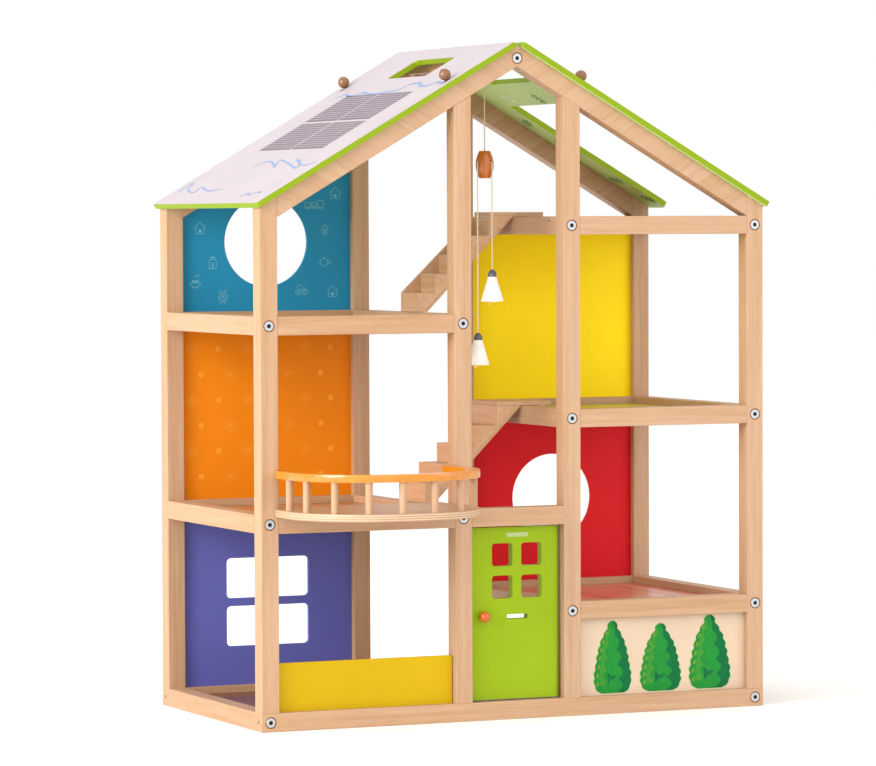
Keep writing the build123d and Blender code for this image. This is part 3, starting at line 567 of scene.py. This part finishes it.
class DOLLHOUSE_OT_icons(Operator):
    """Print small line drawings of household things on the blue wall"""

    bl_idname = "dollhouse.icons"
    bl_label = "Icon print"

    def execute(self, context):
        ink = printed_ink("Ink_screen_printed_pale_blue", "#6fb0c4")
        drawing = Drawing("icon_print", wall_sheet("wall_blue"), ink)
        # Each drawing's middle, across and up in millimetres.
        plan = (
            (self.house, -93, 573),
            (self.train, -119, 559),
            (self.house, -257, 534),
            (self.pine, -106, 530),
            (self.jar, -242, 495),
            (self.teapot, -107, 495),
            (self.pot, -263, 473),
            (self.clock, -230, 456),
            (self.tricycle, -135, 464),
            (self.house, -97, 462),
        )
        for draw, u, v in plan:
            draw(drawing, u * MM, v * MM, prints().icon / 2, prints().line)
        drawing.made()
        return {"FINISHED"}

    def house(self, ink, u, v, r, line):
        ink.line(about(u, v, r, ((-0.7, 0), (-0.7, -1), (0.7, -1), (0.7, 0))), line)
        ink.line(about(u, v, r, ((-1, -0.1), (0, 0.8), (1, -0.1))), line)
        ink.disc(u, v - r * 0.55, r * 0.26)

    def train(self, ink, u, v, r, line):
        for car in (-1, 0, 1):
            middle = u + car * r * 1.15
            top = 0.75 if car == 1 else 0.35
            body = ((-0.45, -0.35), (0.45, -0.35), (0.45, top), (-0.45, top))
            ink.line(about(middle, v, r, body), line, closed=True)
            for wheel in (-0.22, 0.22):
                ink.ring(middle + wheel * r, v - r * 0.5, r * 0.15, line)
        ink.line(about(u, v, r, ((-0.7, -0.1), (0.7, -0.1))), line)

    def pine(self, ink, u, v, r, line):
        ink.ring(u, v + r * 0.15, r * 0.75, line, stretch=0.75)
        ink.line(about(u, v, r, ((0, -1), (0, 0.3))), line)
        for fork in (-0.3, 0.0):
            ink.line(about(u, v, r, ((-0.35, fork + 0.3), (0, fork), (0.35, fork + 0.3))), line)

    def jar(self, ink, u, v, r, line):
        sides = ((-0.45, 0.5), (-0.6, 0.2), (-0.6, -1), (0.6, -1), (0.6, 0.2), (0.45, 0.5))
        ink.line(about(u, v, r, sides), line, closed=True)
        ink.line(about(u, v, r, ((-0.45, 0.8), (0.45, 0.8))), line * 1.8)
        ink.disc(u, v - r * 0.25, r * 0.16)
        ink.disc(u, v - r * 0.65, r * 0.16)

    def teapot(self, ink, u, v, r, line):
        ink.ring(u, v - r * 0.2, r * 0.5, line, math.pi * 0.95, math.pi * 1.1, stretch=1.3)
        ink.ring(u, v - r * 0.05, r * 0.55, line, 0, math.pi, stretch=1.15)
        ink.ring(u + r * 0.85, v - r * 0.1, r * 0.28, line, -math.pi * 0.6, math.pi * 1.3)
        ink.line(about(u, v, r, ((-0.6, -0.3), (-0.85, 0), (-1.1, 0.15))), line)
        ink.disc(u, v + r * 0.62, r * 0.12)

    def pot(self, ink, u, v, r, line):
        ink.ring(u, v - r * 0.1, r * 0.75, line, math.pi, math.pi, stretch=1.15)
        ink.line(about(u, v, r, ((-1.05, -0.1), (1.05, -0.1))), line)
        ink.line(about(u, v, r, ((-0.4, -0.9), (0.4, -0.9))), line)
        for step in range(3):
            ink.disc(u + (step - 1) * r * 0.4, v + r * 0.15, r * 0.17)
        for step in (0.15, 0.6):
            ink.ring(u + r * step, v + r * (0.75 + step * 0.3), r * 0.22, line, 0.4, math.pi)

    def clock(self, ink, u, v, r, line):
        ink.ring(u, v, r * 0.78, line)
        ink.ring(u, v, r * 0.48, line)
        ink.line(about(u, v, r, ((0, 0.3), (0, 0), (0.22, 0.12))), line * 1.6)
        for way in (-1, 1):
            ink.line(about(u, v, r, ((way * 0.3, -0.85), (way * 0.42, -1.1))), line)
            ink.ring(u + way * r * 0.5, v + r * 0.85, r * 0.2, line, 0, math.pi)

    def tricycle(self, ink, u, v, r, line):
        ink.ring(u + r * 0.65, v - r * 0.45, r * 0.42, line)
        for wheel in (-0.8, -0.25):
            ink.ring(u + r * wheel, v - r * 0.6, r * 0.26, line)
        ink.line(about(u, v, r, ((-0.8, -0.25), (-0.1, 0), (0.65, -0.45))), line)
        ink.ring(u - r * 0.35, v + r * 0.35, r * 0.34, line, 0, math.pi * 1.4)
        ink.line(about(u, v, r, ((0.65, -0.45), (0.35, 0.45), (0.6, 0.55))), line)


class DOLLHOUSE_OT_trees(Operator):
    """Finish the tree panel and print its three trees"""

    bl_idname = "dollhouse.trees"
    bl_label = "Tree panel"

    def execute(self, context):
        finish(["tree_panel"], satin_paint("Plywood_lacquered_cream", linear("#cdb69e"), 0.45))
        ease(["tree_panel"], 0.4 * MM)
        sheet = wall_sheet("tree_panel")
        inks = (
            ("halo", "#b9c58c"), ("dark", "#006434"), ("leaf", "#19822f"),
            ("light", "#37882d"), ("sunlit", "#618a2a"), ("shadow", "#006434"),
        )
        drawings = {}
        for number, (tone, code) in enumerate(inks):
            ink = printed_ink(f"Ink_screen_printed_{tone}_leaf", code)
            drawings[tone] = Drawing(f"tree_{tone}", sheet, ink, layer=0.6 + 0.9 * number)
        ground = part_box("tree_panel")[0].z + 6 * MM
        # Each tree's middle, width and height, in millimetres.
        for u, width, height in ((117, 47, 81), (176, 52, 76), (237, 53, 83)):
            self.tree(drawings, u * MM, ground, width * MM, height * MM)
        for drawing in drawings.values():
            drawing.made()
        return {"FINISHED"}

    def tree(self, drawings, u, ground, width, height):
        """A bush with a scalloped edge, darker on its right and sunlit on its left. Its
        profile gives half its width at shares of its height."""
        profile = (
            (0.0, 0.24), (0.04, 0.36), (0.1, 0.44), (0.2, 0.46), (0.3, 0.45), (0.4, 0.41), (0.5, 0.385),
            (0.6, 0.345), (0.7, 0.295), (0.8, 0.21), (0.88, 0.125), (0.95, 0.085), (1.0, 0.02),
        )

        def half(share):
            for (low, a), (high, b) in zip(profile, profile[1:]):
                if share <= high:
                    return width * (a + (b - a) * (share - low) / (high - low))
            return 0

        def bump(share, count):
            return abs(math.sin(math.pi * count * share))

        def area(tone, start, end, left, right):
            shares = [start + (end - start) * step / 72 for step in range(73)]
            one = [(u - left(share), ground + share * height) for share in shares]
            other = [(u + right(share), ground + share * height) for share in shares]
            drawings[tone].shape(one + other[::-1])

        def edge(share):
            return half(share) + width * 0.035 * bump(share, 9)

        area("halo", 0, 1, lambda share: edge(share) + 0.9 * MM, lambda share: edge(share) + 0.9 * MM)
        area("dark", 0.01, 0.99, edge, edge)
        area("leaf", 0.015, 0.985, lambda share: edge(share) - 0.4 * MM,
             lambda share: half(share) * (0.35 + 0.3 * bump(share, 5)) - width * 0.02)
        area("light", 0.12, 0.93, lambda share: half(share) * 0.72 + width * 0.02 * bump(share, 7),
             lambda share: -half(share) * (0.3 + 0.25 * bump(share, 6)))
        for step in range(7):
            share = 0.14 + 0.115 * step
            centre = (u - half(share) * 0.86, ground + share * height)
            drawings["sunlit"].disc(*centre, width * 0.032, stretch=1.7, turn=1.2, steps=10)
        shadow = [(-0.12, 0.12), (-0.14, 0.3), (-0.04, 0.24), (0.1, 0.25), (0.0, 0.19), (-0.06, 0.2)]
        drawings["shadow"].shape([(u + a * width, ground + b * height) for a, b in shadow])


class DOLLHOUSE_OT_floors(Operator):
    """Finish the floors with printed planks"""

    bl_idname = "dollhouse.floors"
    bl_label = "Floors"

    def execute(self, context):
        boards = (
            ("right_1", "pink", ("#c8624a", "#d98a6c", "#efc3ae"), "y", 1),
            ("right_2", "green", ("#b9b83a", "#cfc54a", "#6f6a1e"), "x", 1),
            ("left_1", "oak", ("#c98d4e", "#b9783a", "#8a5425"), "x", 1),
            ("ground", "walnut", ("#8a5632", "#74452a", "#5a3320"), "x", 1.5),
        )
        for floor, kind, codes, along, widths in boards:
            width = prints().plank * widths
            finish([f"floor_{floor}"], printed_planks(f"Plywood_printed_{kind}_planks", codes, along, width))
        finish(["floor_left_2", "floor_right_3"], planed_beech("Beech_plywood_floor", "x"))
        return {"FINISHED"}


class DOLLHOUSE_OT_roof(Operator):
    """Finish the roof panels, their prints and the beads that hold them"""

    bl_idname = "dollhouse.roof"
    bl_label = "Roof"

    def execute(self, context):
        lime = colours().lime
        leaf_ground = linear("#b9d48a")
        cream = roof_paint("Paint_printed_roof_cream", colours().cream, leaf_ground, lime, -1)
        finish(["roof_left"], cream)
        green = roof_paint("Paint_printed_roof_green", leaf_ground, leaf_ground, lime, 1)
        finish(["roof_right"], green)
        ease(["roof_left", "roof_right"], 0.6 * MM)
        self.solar_panel()
        self.ripples()
        self.leaves()
        stain = gloss_lacquer("Beech_turned_stained_brown", linear("#7f5028"), 0.35)
        finish([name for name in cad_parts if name.startswith("roof_bead")], stain)
        finish(["roof_elastics"], braided_cord("Elastic_cord_covered_black", linear("#1c1a1c")))
        return {"FINISHED"}

    def solar_panel(self):
        """Four cells with fine stripes, between white lines."""
        sheet = roof_sheet(-1, True)
        cell_ink = printed_ink("Ink_screen_printed_mauve", "#75676f")
        stripe_ink = printed_ink("Ink_screen_printed_pale_mauve", "#a3979e")
        cells = Drawing("solar_cells", sheet, cell_ink, layer=1)
        stripes = Drawing("solar_stripes", sheet, stripe_ink, layer=2)
        start, end, half, gap = 109 * MM, 232 * MM, 91 * MM, 2.2 * MM
        middle = (start + end) / 2
        count = 12
        for near, far in ((start, middle - gap), (middle + gap, end)):
            for low, high in ((-half, -gap), (gap, half)):
                cells.shape([(near, low), (far, low), (far, high), (near, high)])
                for step in range(1, count):
                    u = near + (far - near) * step / count
                    stripes.line([(u, low), (u, high)], 1.6 * MM)
        cells.made()
        stripes.made()

    def ripples(self):
        """Loose blue ripples near the ridge and the eave, the upper ones bolder."""
        ink = printed_ink("Ink_screen_printed_light_blue", "#8094b8")
        drawing = Drawing("roof_ripples", roof_sheet(-1, True), ink)
        routes = (
            (
                (112, -116), (105, -104), (110, -81), (103, -60), (108, -27),
                (106, 3), (103, 36), (91, 48), (88, 68),
            ),
            ((88, 68), (96, 88), (97, 106), (90, 120), (95, 144)),
            (
                (270, -26), (258, -10), (262, 14), (272, 40), (256, 22),
                (265, 66), (276, 110), (262, 92), (256, 70),
            ),
            ((256, 70), (270, 116), (262, 140)),
            ((322, -140), (303, -136), (318, -118), (325, -84), (313, -88), (322, -46), (318, -18)),
            ((336, 78), (328, 84), (333, 98), (326, 108), (328, 120)),
        )
        for number, route in enumerate(routes):
            points = smooth([(u * MM, v * MM) for u, v in route])
            drawing.line(points, (4.0 if number < 2 else 2.6) * MM)
        drawing.made()

    def leaves(self):
        """Sprigs of leaves on both faces of the right panel and below the left one."""
        ink = printed_ink("Ink_screen_printed_forest_green", "#3f9142")
        pale = printed_ink("Ink_screen_printed_white_leaf", "#e3efc8")
        for side, top, name in ((1, True, "right_top"), (1, False, "right_below"), (-1, False, "left_below")):
            sheet = roof_sheet(side, top)
            dark = Drawing(f"leaf_sprigs_{name}", sheet, ink, layer=1)
            light = Drawing(f"leaf_pale_{name}", sheet, pale, layer=2)
            for number in range(1, 73):
                row, column = divmod(number - 1, 9)
                u = (18 + row * 43 + 9 * (column % 2)) * MM
                v = (-140 + column * 35 + 8 * (row % 3 - 1)) * MM
                if clear_of_holes(u, v, side, 15 * MM):
                    sprig(light if number % 3 == 0 else dark, u, v, number * 1.37)
            dark.made()
            light.made()


def clear_of_holes(u, v, side, room):
    """Whether a small print at this place stays on the roof panel."""
    across = abs(v)
    on_panel = RIDGE_GAP + room < u < ROOF_END - room and across < ROOF_HALF_WIDTH - room
    in_skylight = SKYLIGHT_START - room < u < SKYLIGHT_END + room and across < SKYLIGHT_HALF_WIDTH + room
    in_notch = side > 0 and u > NOTCH_START - room and across < NOTCH_HALF_WIDTH + room
    at_bead = abs(u - BEAD_DOWN) < room and abs(across - BEAD_ACROSS) < room
    return on_panel and not (in_skylight or in_notch or at_bead)


def sprig(drawing, u, v, turn):
    """A stalk with seven leaves."""
    tip = turned(u, v, 11 * MM, 0, turn)
    drawing.line([turned(u, v, -11 * MM, 0, turn), tip], 0.8 * MM)
    for step in range(3):
        reach = (-6 + 6 * step) * MM
        for side in (-1, 1):
            centre = turned(u, v, reach + 2.5 * MM, side * 3.6 * MM, turn)
            drawing.disc(*centre, 1.5 * MM, stretch=2.6, turn=turn + side * 0.9, steps=12)
    drawing.disc(*tip, 1.4 * MM, stretch=2.4, turn=turn, steps=12)


def smooth(points, steps=6):
    """A Catmull-Rom line through the points."""
    padded = [points[0], *points, points[-1]]
    route = []
    for a, b, c, d in zip(padded, padded[1:], padded[2:], padded[3:]):
        for step in range(steps):
            t = step / steps
            place = []
            for p, q, r, s in zip(a, b, c, d):
                square, cube = 2 * p - 5 * q + 4 * r - s, 3 * q - p - 3 * r + s
                place.append(0.5 * (2 * q + (r - p) * t + square * t**2 + cube * t**3))
            route.append(tuple(place))
    return route + [points[-1]]


class DOLLHOUSE_OT_door(Operator):
    """Paint the door, its knob and its blank name plate"""

    bl_idname = "dollhouse.door"
    bl_label = "Door"

    def execute(self, context):
        finish(["door"], satin_paint("Paint_satin_sprayed_door_green", colours().door, 0.4))
        ease(["door"], 0.6 * MM)
        finish(["door_knob"], gloss_lacquer("Lacquer_gloss_orange_knob", linear("#bd560f")))
        finish(["door_pins"], zinc_plated_steel("Steel_zinc_plated_pin", linear("#b9bcc0")))
        plate_ink = printed_ink("Ink_screen_printed_name_plate", "#a9b87c")
        plate = Drawing("door_name_plate", wall_sheet("door"), plate_ink, body="door")
        low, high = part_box("door")
        u, v = (low.x + high.x) / 2 + 2 * MM, high.z - 8.5 * MM
        wide, tall = 13 * MM, 2.3 * MM
        plate.shape([(u - wide, v - tall), (u + wide, v - tall), (u + wide, v + tall), (u - wide, v + tall)])
        plate.made()
        return {"FINISHED"}


class DOLLHOUSE_OT_balcony(Operator):
    """Finish the balcony"""

    bl_idname = "dollhouse.balcony"
    bl_label = "Balcony"

    def execute(self, context):
        finish(["balcony_deck"], plywood_deck("Beech_plywood_sanded_deck"))
        finish(["balcony_balusters", "balcony_pegs"], planed_beech("Beech_turned_dowel", "z", 0.98))
        finish(["balcony_handrail"], gloss_lacquer("Lacquer_gloss_orange_rail", colours().rail_orange, 0.28))
        ease(["balcony_deck"], 0.5 * MM)
        ease(["balcony_handrail"], 1.2 * MM)
        return {"FINISHED"}


class DOLLHOUSE_OT_stairs(Operator):
    """Finish both flights of stairs"""

    bl_idname = "dollhouse.stairs"
    bl_label = "Stairs"

    def execute(self, context):
        # Painted light: the steps' beech is a quarter lighter than the other timber, to make up for the shade
        # that falls on them inside the house.
        steps = planed_beech("Beech_planed_steps_painted_light", "y", 1.25)
        boards = planed_beech("Beech_planed_boards", "x", 1.15)
        for flight in ("lower", "upper"):
            finish([f"{flight}_stair_steps"], steps)
            finish([f"{flight}_stair_soffit", f"{flight}_stair_hook_board"], boards)
            ease([f"{flight}_stair_steps", f"{flight}_stair_hook_board"], 0.6 * MM)
        finish(["upper_stair_side_board"], boards)
        return {"FINISHED"}


class DOLLHOUSE_OT_lamps(Operator):
    """Finish the hanging lamps and lay their cords"""

    bl_idname = "dollhouse.lamps"
    bl_label = "Hanging lamps"

    def execute(self, context):
        cotton = braided_cord("Cotton_cord_braided_natural", linear("#e2cfb4"))
        finish(["pendant_barrel"], gloss_lacquer("Beech_turned_varnished_amber", linear("#c0661c"), 0.22))
        parts = (
            ("shade", "satin_white", "#f2efe8", 0.35),
            ("cap", "gloss_slate", "#4a4d5c", 0.3),
            ("bulb", "gloss_yellow", "#f7d42c", 0.2),
        )
        for lamp in ("high", "low"):
            for part, kind, code, roughness in parts:
                lacquer = gloss_lacquer(f"Lacquer_{kind}_{part}", linear(code), roughness)
                finish([f"{lamp}_lamp_{part}"], lacquer)
            self.lamp_cord(lamp, cotton)
        self.main_cord(cotton)
        return {"FINISHED"}

    def lamp_cord(self, lamp, cotton):
        """From its hole in the barrel, over the edge and straight down to the lamp: where it
        leaves, where it hangs, and its top and end, in millimetres."""
        routes = {
            "high": ((2.223, -11.108), (3.865, -15.619), 605.5, 487.0),
            "low": ((-6.068, -7.329), (-10.549, -9.050), 605.5, 417.5),
        }
        (x0, y0), (x1, y1), top, end = routes[lamp]
        points = [(x0, y0, top), (x1, y1, top), (x1, y1, top - 8), (x1, y1, end)]
        piece, path = cord_tube(f"{lamp}_lamp_cord_cotton", points, CORD, cotton)
        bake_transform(piece)
        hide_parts(f"{lamp}_lamp_cord")

    def main_cord(self, cotton):
        """From its loop on the screw eye down to the barrel."""
        points = [(0, -5, 695.2), (0, -5, 650), (0, -5, 600)]
        piece, path = cord_tube("pendant_cord_cotton", points, CORD, cotton)
        loop = wire_ring("pendant_cord_loop", (0, -5, 697.408), (0, 1, 0), 2.2, CORD, cotton)
        whipping = [
            wire_ring(f"pendant_cord_whipping_{turn}", (0, -5, 693.4 - turn), (0, 0, 1), 0.8, 1.1, cotton)
            for turn in range(3)
        ]
        for ring in (loop, *whipping):
            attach(ring, "pendant")
        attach(piece, "pendant")
        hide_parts("pendant_cord")


def wire_ring(name, centre, axis, radius, thickness, material):
    """A ring of round section, in millimetres."""
    spin = Vector((0, 0, 1)).rotation_difference(Vector(axis))
    around, section = 28, 10
    points, faces = [], []
    for step in range(around):
        a = 2 * math.pi * step / around
        for part in range(section):
            b = 2 * math.pi * part / section
            reach = radius + thickness / 2 * math.cos(b)
            local = Vector((reach * math.cos(a), reach * math.sin(a), thickness / 2 * math.sin(b)))
            points.append((Vector(centre) + spin @ local) * MM)
            here, ahead, above = step * section, (step + 1) % around * section, (part + 1) % section
            faces.append([here + part, ahead + part, ahead + above, here + above])
    data = bpy.data.meshes.new(name)
    data.from_pydata(points, [], faces)
    data.materials.append(material)
    for face in data.polygons:
        face.use_smooth = True
    return placed(name, data)


def cord_tube(name, points, thickness, material):
    """A tube along the smooth spline that has these points, in millimetres, and its route."""
    curve = bpy.data.curves.new(name + "_route", "CURVE")
    curve.dimensions = "3D"
    curve.resolution_u = 24
    spline = curve.splines.new("NURBS")
    spline.points.add(len(points) - 1)
    for point, place in zip(spline.points, points):
        point.co = (*(value * MM for value in place), 1)
    spline.order_u = 3
    spline.use_endpoint_u = True
    route = placed(name + "_route", curve)
    bpy.context.view_layer.update()
    centre = bpy.data.meshes.new_from_object(route)
    path = [tuple(vertex.co) for vertex in centre.vertices]
    bpy.data.meshes.remove(centre)
    curve.bevel_depth = thickness * MM / 2
    curve.bevel_resolution = 4
    curve.use_fill_caps = True
    data = bpy.data.meshes.new_from_object(route)
    data.name = name
    data.materials.clear()
    data.materials.append(material)
    for face in data.polygons:
        face.use_smooth = True
    bpy.data.objects.remove(route)
    return placed(name, data), path


class DOLLHOUSE_OT_fittings(Operator):
    """Finish the bolts, nuts and the screw eye"""

    bl_idname = "dollhouse.fittings"
    bl_label = "Fittings"

    def execute(self, context):
        steel = zinc_plated_steel("Steel_zinc_plated_bolt", linear("#c4c7cb"))
        finish(["bolts", "barrel_nuts", "screw_eye"], steel)
        # Painted shade: a dark ink stands for the shade inside each bolt's socket, and a brown ink for the
        # shade in the gap round each head.
        shadow = printed_ink("Steel_socket_painted_shade", "#2b2622", 0.6)
        rim = printed_ink("Beech_countersink_painted_shade", "#7d5230", 0.6)
        # The bolt heads lie this deep in their countersinks; a dark hexagon is drawn on each head as painted
        # shade in its socket, and a brown ring round each countersink as painted shade in the gap round the
        # head.
        sunk, socket, countersink = 1.65 * MM, 2.6 * MM, 5.95 * MM
        front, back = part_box("front_posts")[0].y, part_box("back_posts")[1].y
        for name, y, way in (("front", front, 1), ("back", back, -1)):
            head_sheet = Sheet((0, y + way * sunk, 0), (way, 0, 0), (0, 0, 1))
            rim_sheet = Sheet((0, y, 0), (way, 0, 0), (0, 0, 1))
            sockets = Drawing(f"{name}_bolt_sockets", head_sheet, shadow)
            rims = Drawing(f"{name}_bolt_rims", rim_sheet, rim)
            for x, z in self.places():
                sockets.disc(way * x * MM, z * MM, socket, steps=6)
                rims.ring(way * x * MM, z * MM, countersink, 0.7 * MM)
            sockets.made()
            rims.made()
        return {"FINISHED"}

    def places(self):
        """Across and up, in millimetres: the corners, the ridge and the ends of the side rails."""
        found = [(-290, 10), (290, 10), (0, 715.66)]
        found += [(x, z) for z in (220, 430) for x in (-290, -65)]
        return found + [(x, z) for z in (115, 325, 535) for x in (65, 290)]


class DOLLHOUSE_OT_stage(Operator):
    """Set up the floor, the lights and the camera"""

    bl_idname = "dollhouse.stage"
    bl_label = "Stage"

    def execute(self, context):
        settings = context.scene.dollhouse_stage
        self.floor()
        self.light("Key", (-3.4, -0.9, 1.5), 2.4, settings.key)
        self.light("Fill", (2.8, -3.0, 1.6), 2.6, settings.fill)
        self.light("Top", (0.2, 0.6, 3.2), 2.4, settings.fill * 0.5)
        self.surroundings(context.scene, settings.sky)
        self.camera(settings)
        return {"FINISHED"}

    def surroundings(self, scene, sky):
        """White all round, and brighter in front, so that the rooms are lit evenly."""
        world = bpy.data.worlds.new("Studio_white")
        world.use_nodes = True
        tree = world.node_tree
        background = tree.nodes["Background"]
        feed(background, "Color", (1, 1, 1, 1))
        parts = node(tree, "SeparateXYZ", {0: node(tree, "TexCoord").outputs["Generated"]})
        strength = node(tree, "MapRange", {0: parts.outputs[1], 1: 0.1, 2: -0.7, 3: sky, 4: sky * 1.6})
        feed(background, "Strength", strength)
        scene.world = world
        scene.view_settings.view_transform = "Standard"

    def floor(self):
        reach = 14
        corners = [(x * reach, y * reach, 0) for x, y in ((-1, -1), (1, -1), (1, 1), (-1, 1))]
        data = bpy.data.meshes.new("studio_floor")
        data.from_pydata(corners, [], [(0, 1, 2, 3)])
        data.materials.append(satin_paint("Paint_matt_studio_floor", linear("#f6f5f1"), 0.85, 0.0))
        placed("studio_floor", data)

    def light(self, name, place, size, power):
        data = bpy.data.lights.new(name, "AREA")
        data.shape = "DISK"
        data.size = size
        data.energy = power
        lamp = placed(name, data)
        lamp.location = place
        lamp.rotation_mode = "QUATERNION"
        house_middle = Vector((0, 0.05, 0.35))
        lamp.rotation_quaternion = (house_middle - Vector(place)).to_track_quat("-Z", "Y")

    def camera(self, settings):
        data = bpy.data.cameras.new("Camera")
        data.sensor_width = 36
        data.lens = settings.lens
        data.clip_start, data.clip_end = 0.1, 60
        turn, tilt, roll = 0.41982, 0.03695, -0.00369
        right = Vector((math.cos(turn), -math.sin(turn), 0))
        ahead = Vector((math.sin(turn) * math.cos(tilt), math.cos(turn) * math.cos(tilt), -math.sin(tilt)))
        above = right.cross(ahead)
        side = right * math.cos(roll) + above * math.sin(roll)
        above = above * math.cos(roll) - right * math.sin(roll)
        camera = placed("Camera", data)
        turned_axes = Matrix((side, above, -ahead)).transposed().to_4x4()
        camera.matrix_world = Matrix.Translation((-2.0054, -4.37, 0.5398)) @ turned_axes
        bpy.context.scene.camera = camera


OPERATORS = (
    DOLLHOUSE_OT_timber,
    DOLLHOUSE_OT_walls,
    DOLLHOUSE_OT_flowers,
    DOLLHOUSE_OT_icons,
    DOLLHOUSE_OT_trees,
    DOLLHOUSE_OT_floors,
    DOLLHOUSE_OT_roof,
    DOLLHOUSE_OT_door,
    DOLLHOUSE_OT_balcony,
    DOLLHOUSE_OT_stairs,
    DOLLHOUSE_OT_lamps,
    DOLLHOUSE_OT_fittings,
    DOLLHOUSE_OT_stage,
)


class DOLLHOUSE_PT_panel(Panel):
    """The dollhouse's pieces and their settings"""

    bl_idname = "DOLLHOUSE_PT_panel"
    bl_label = "Dollhouse"
    bl_space_type = "VIEW_3D"
    bl_region_type = "UI"
    bl_category = "Dollhouse"

    def draw(self, context):
        for operator in OPERATORS:
            self.layout.operator(operator.bl_idname)
        for group in GROUPS:
            values = getattr(context.scene, group)
            for key in values.__annotations__:
                self.layout.prop(values, key)


GROUPS = {
    "dollhouse_colours": DollhouseColours,
    "dollhouse_prints": DollhousePrints,
    "dollhouse_stage": DollhouseStage,
}
CLASSES = (*GROUPS.values(), *OPERATORS, DOLLHOUSE_PT_panel)


def register():
    for item in CLASSES:
        bpy.utils.register_class(item)
    for name, group in GROUPS.items():
        setattr(bpy.types.Scene, name, PointerProperty(type=group))


def unregister():
    for name in GROUPS:
        delattr(bpy.types.Scene, name)
    for item in reversed(CLASSES):
        bpy.utils.unregister_class(item)


def main():
    register()
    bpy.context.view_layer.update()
    for operator in OPERATORS:
        group, name = operator.bl_idname.split(".")
        getattr(getattr(bpy.ops, group), name)()


if __name__ == "__main__":
    main()
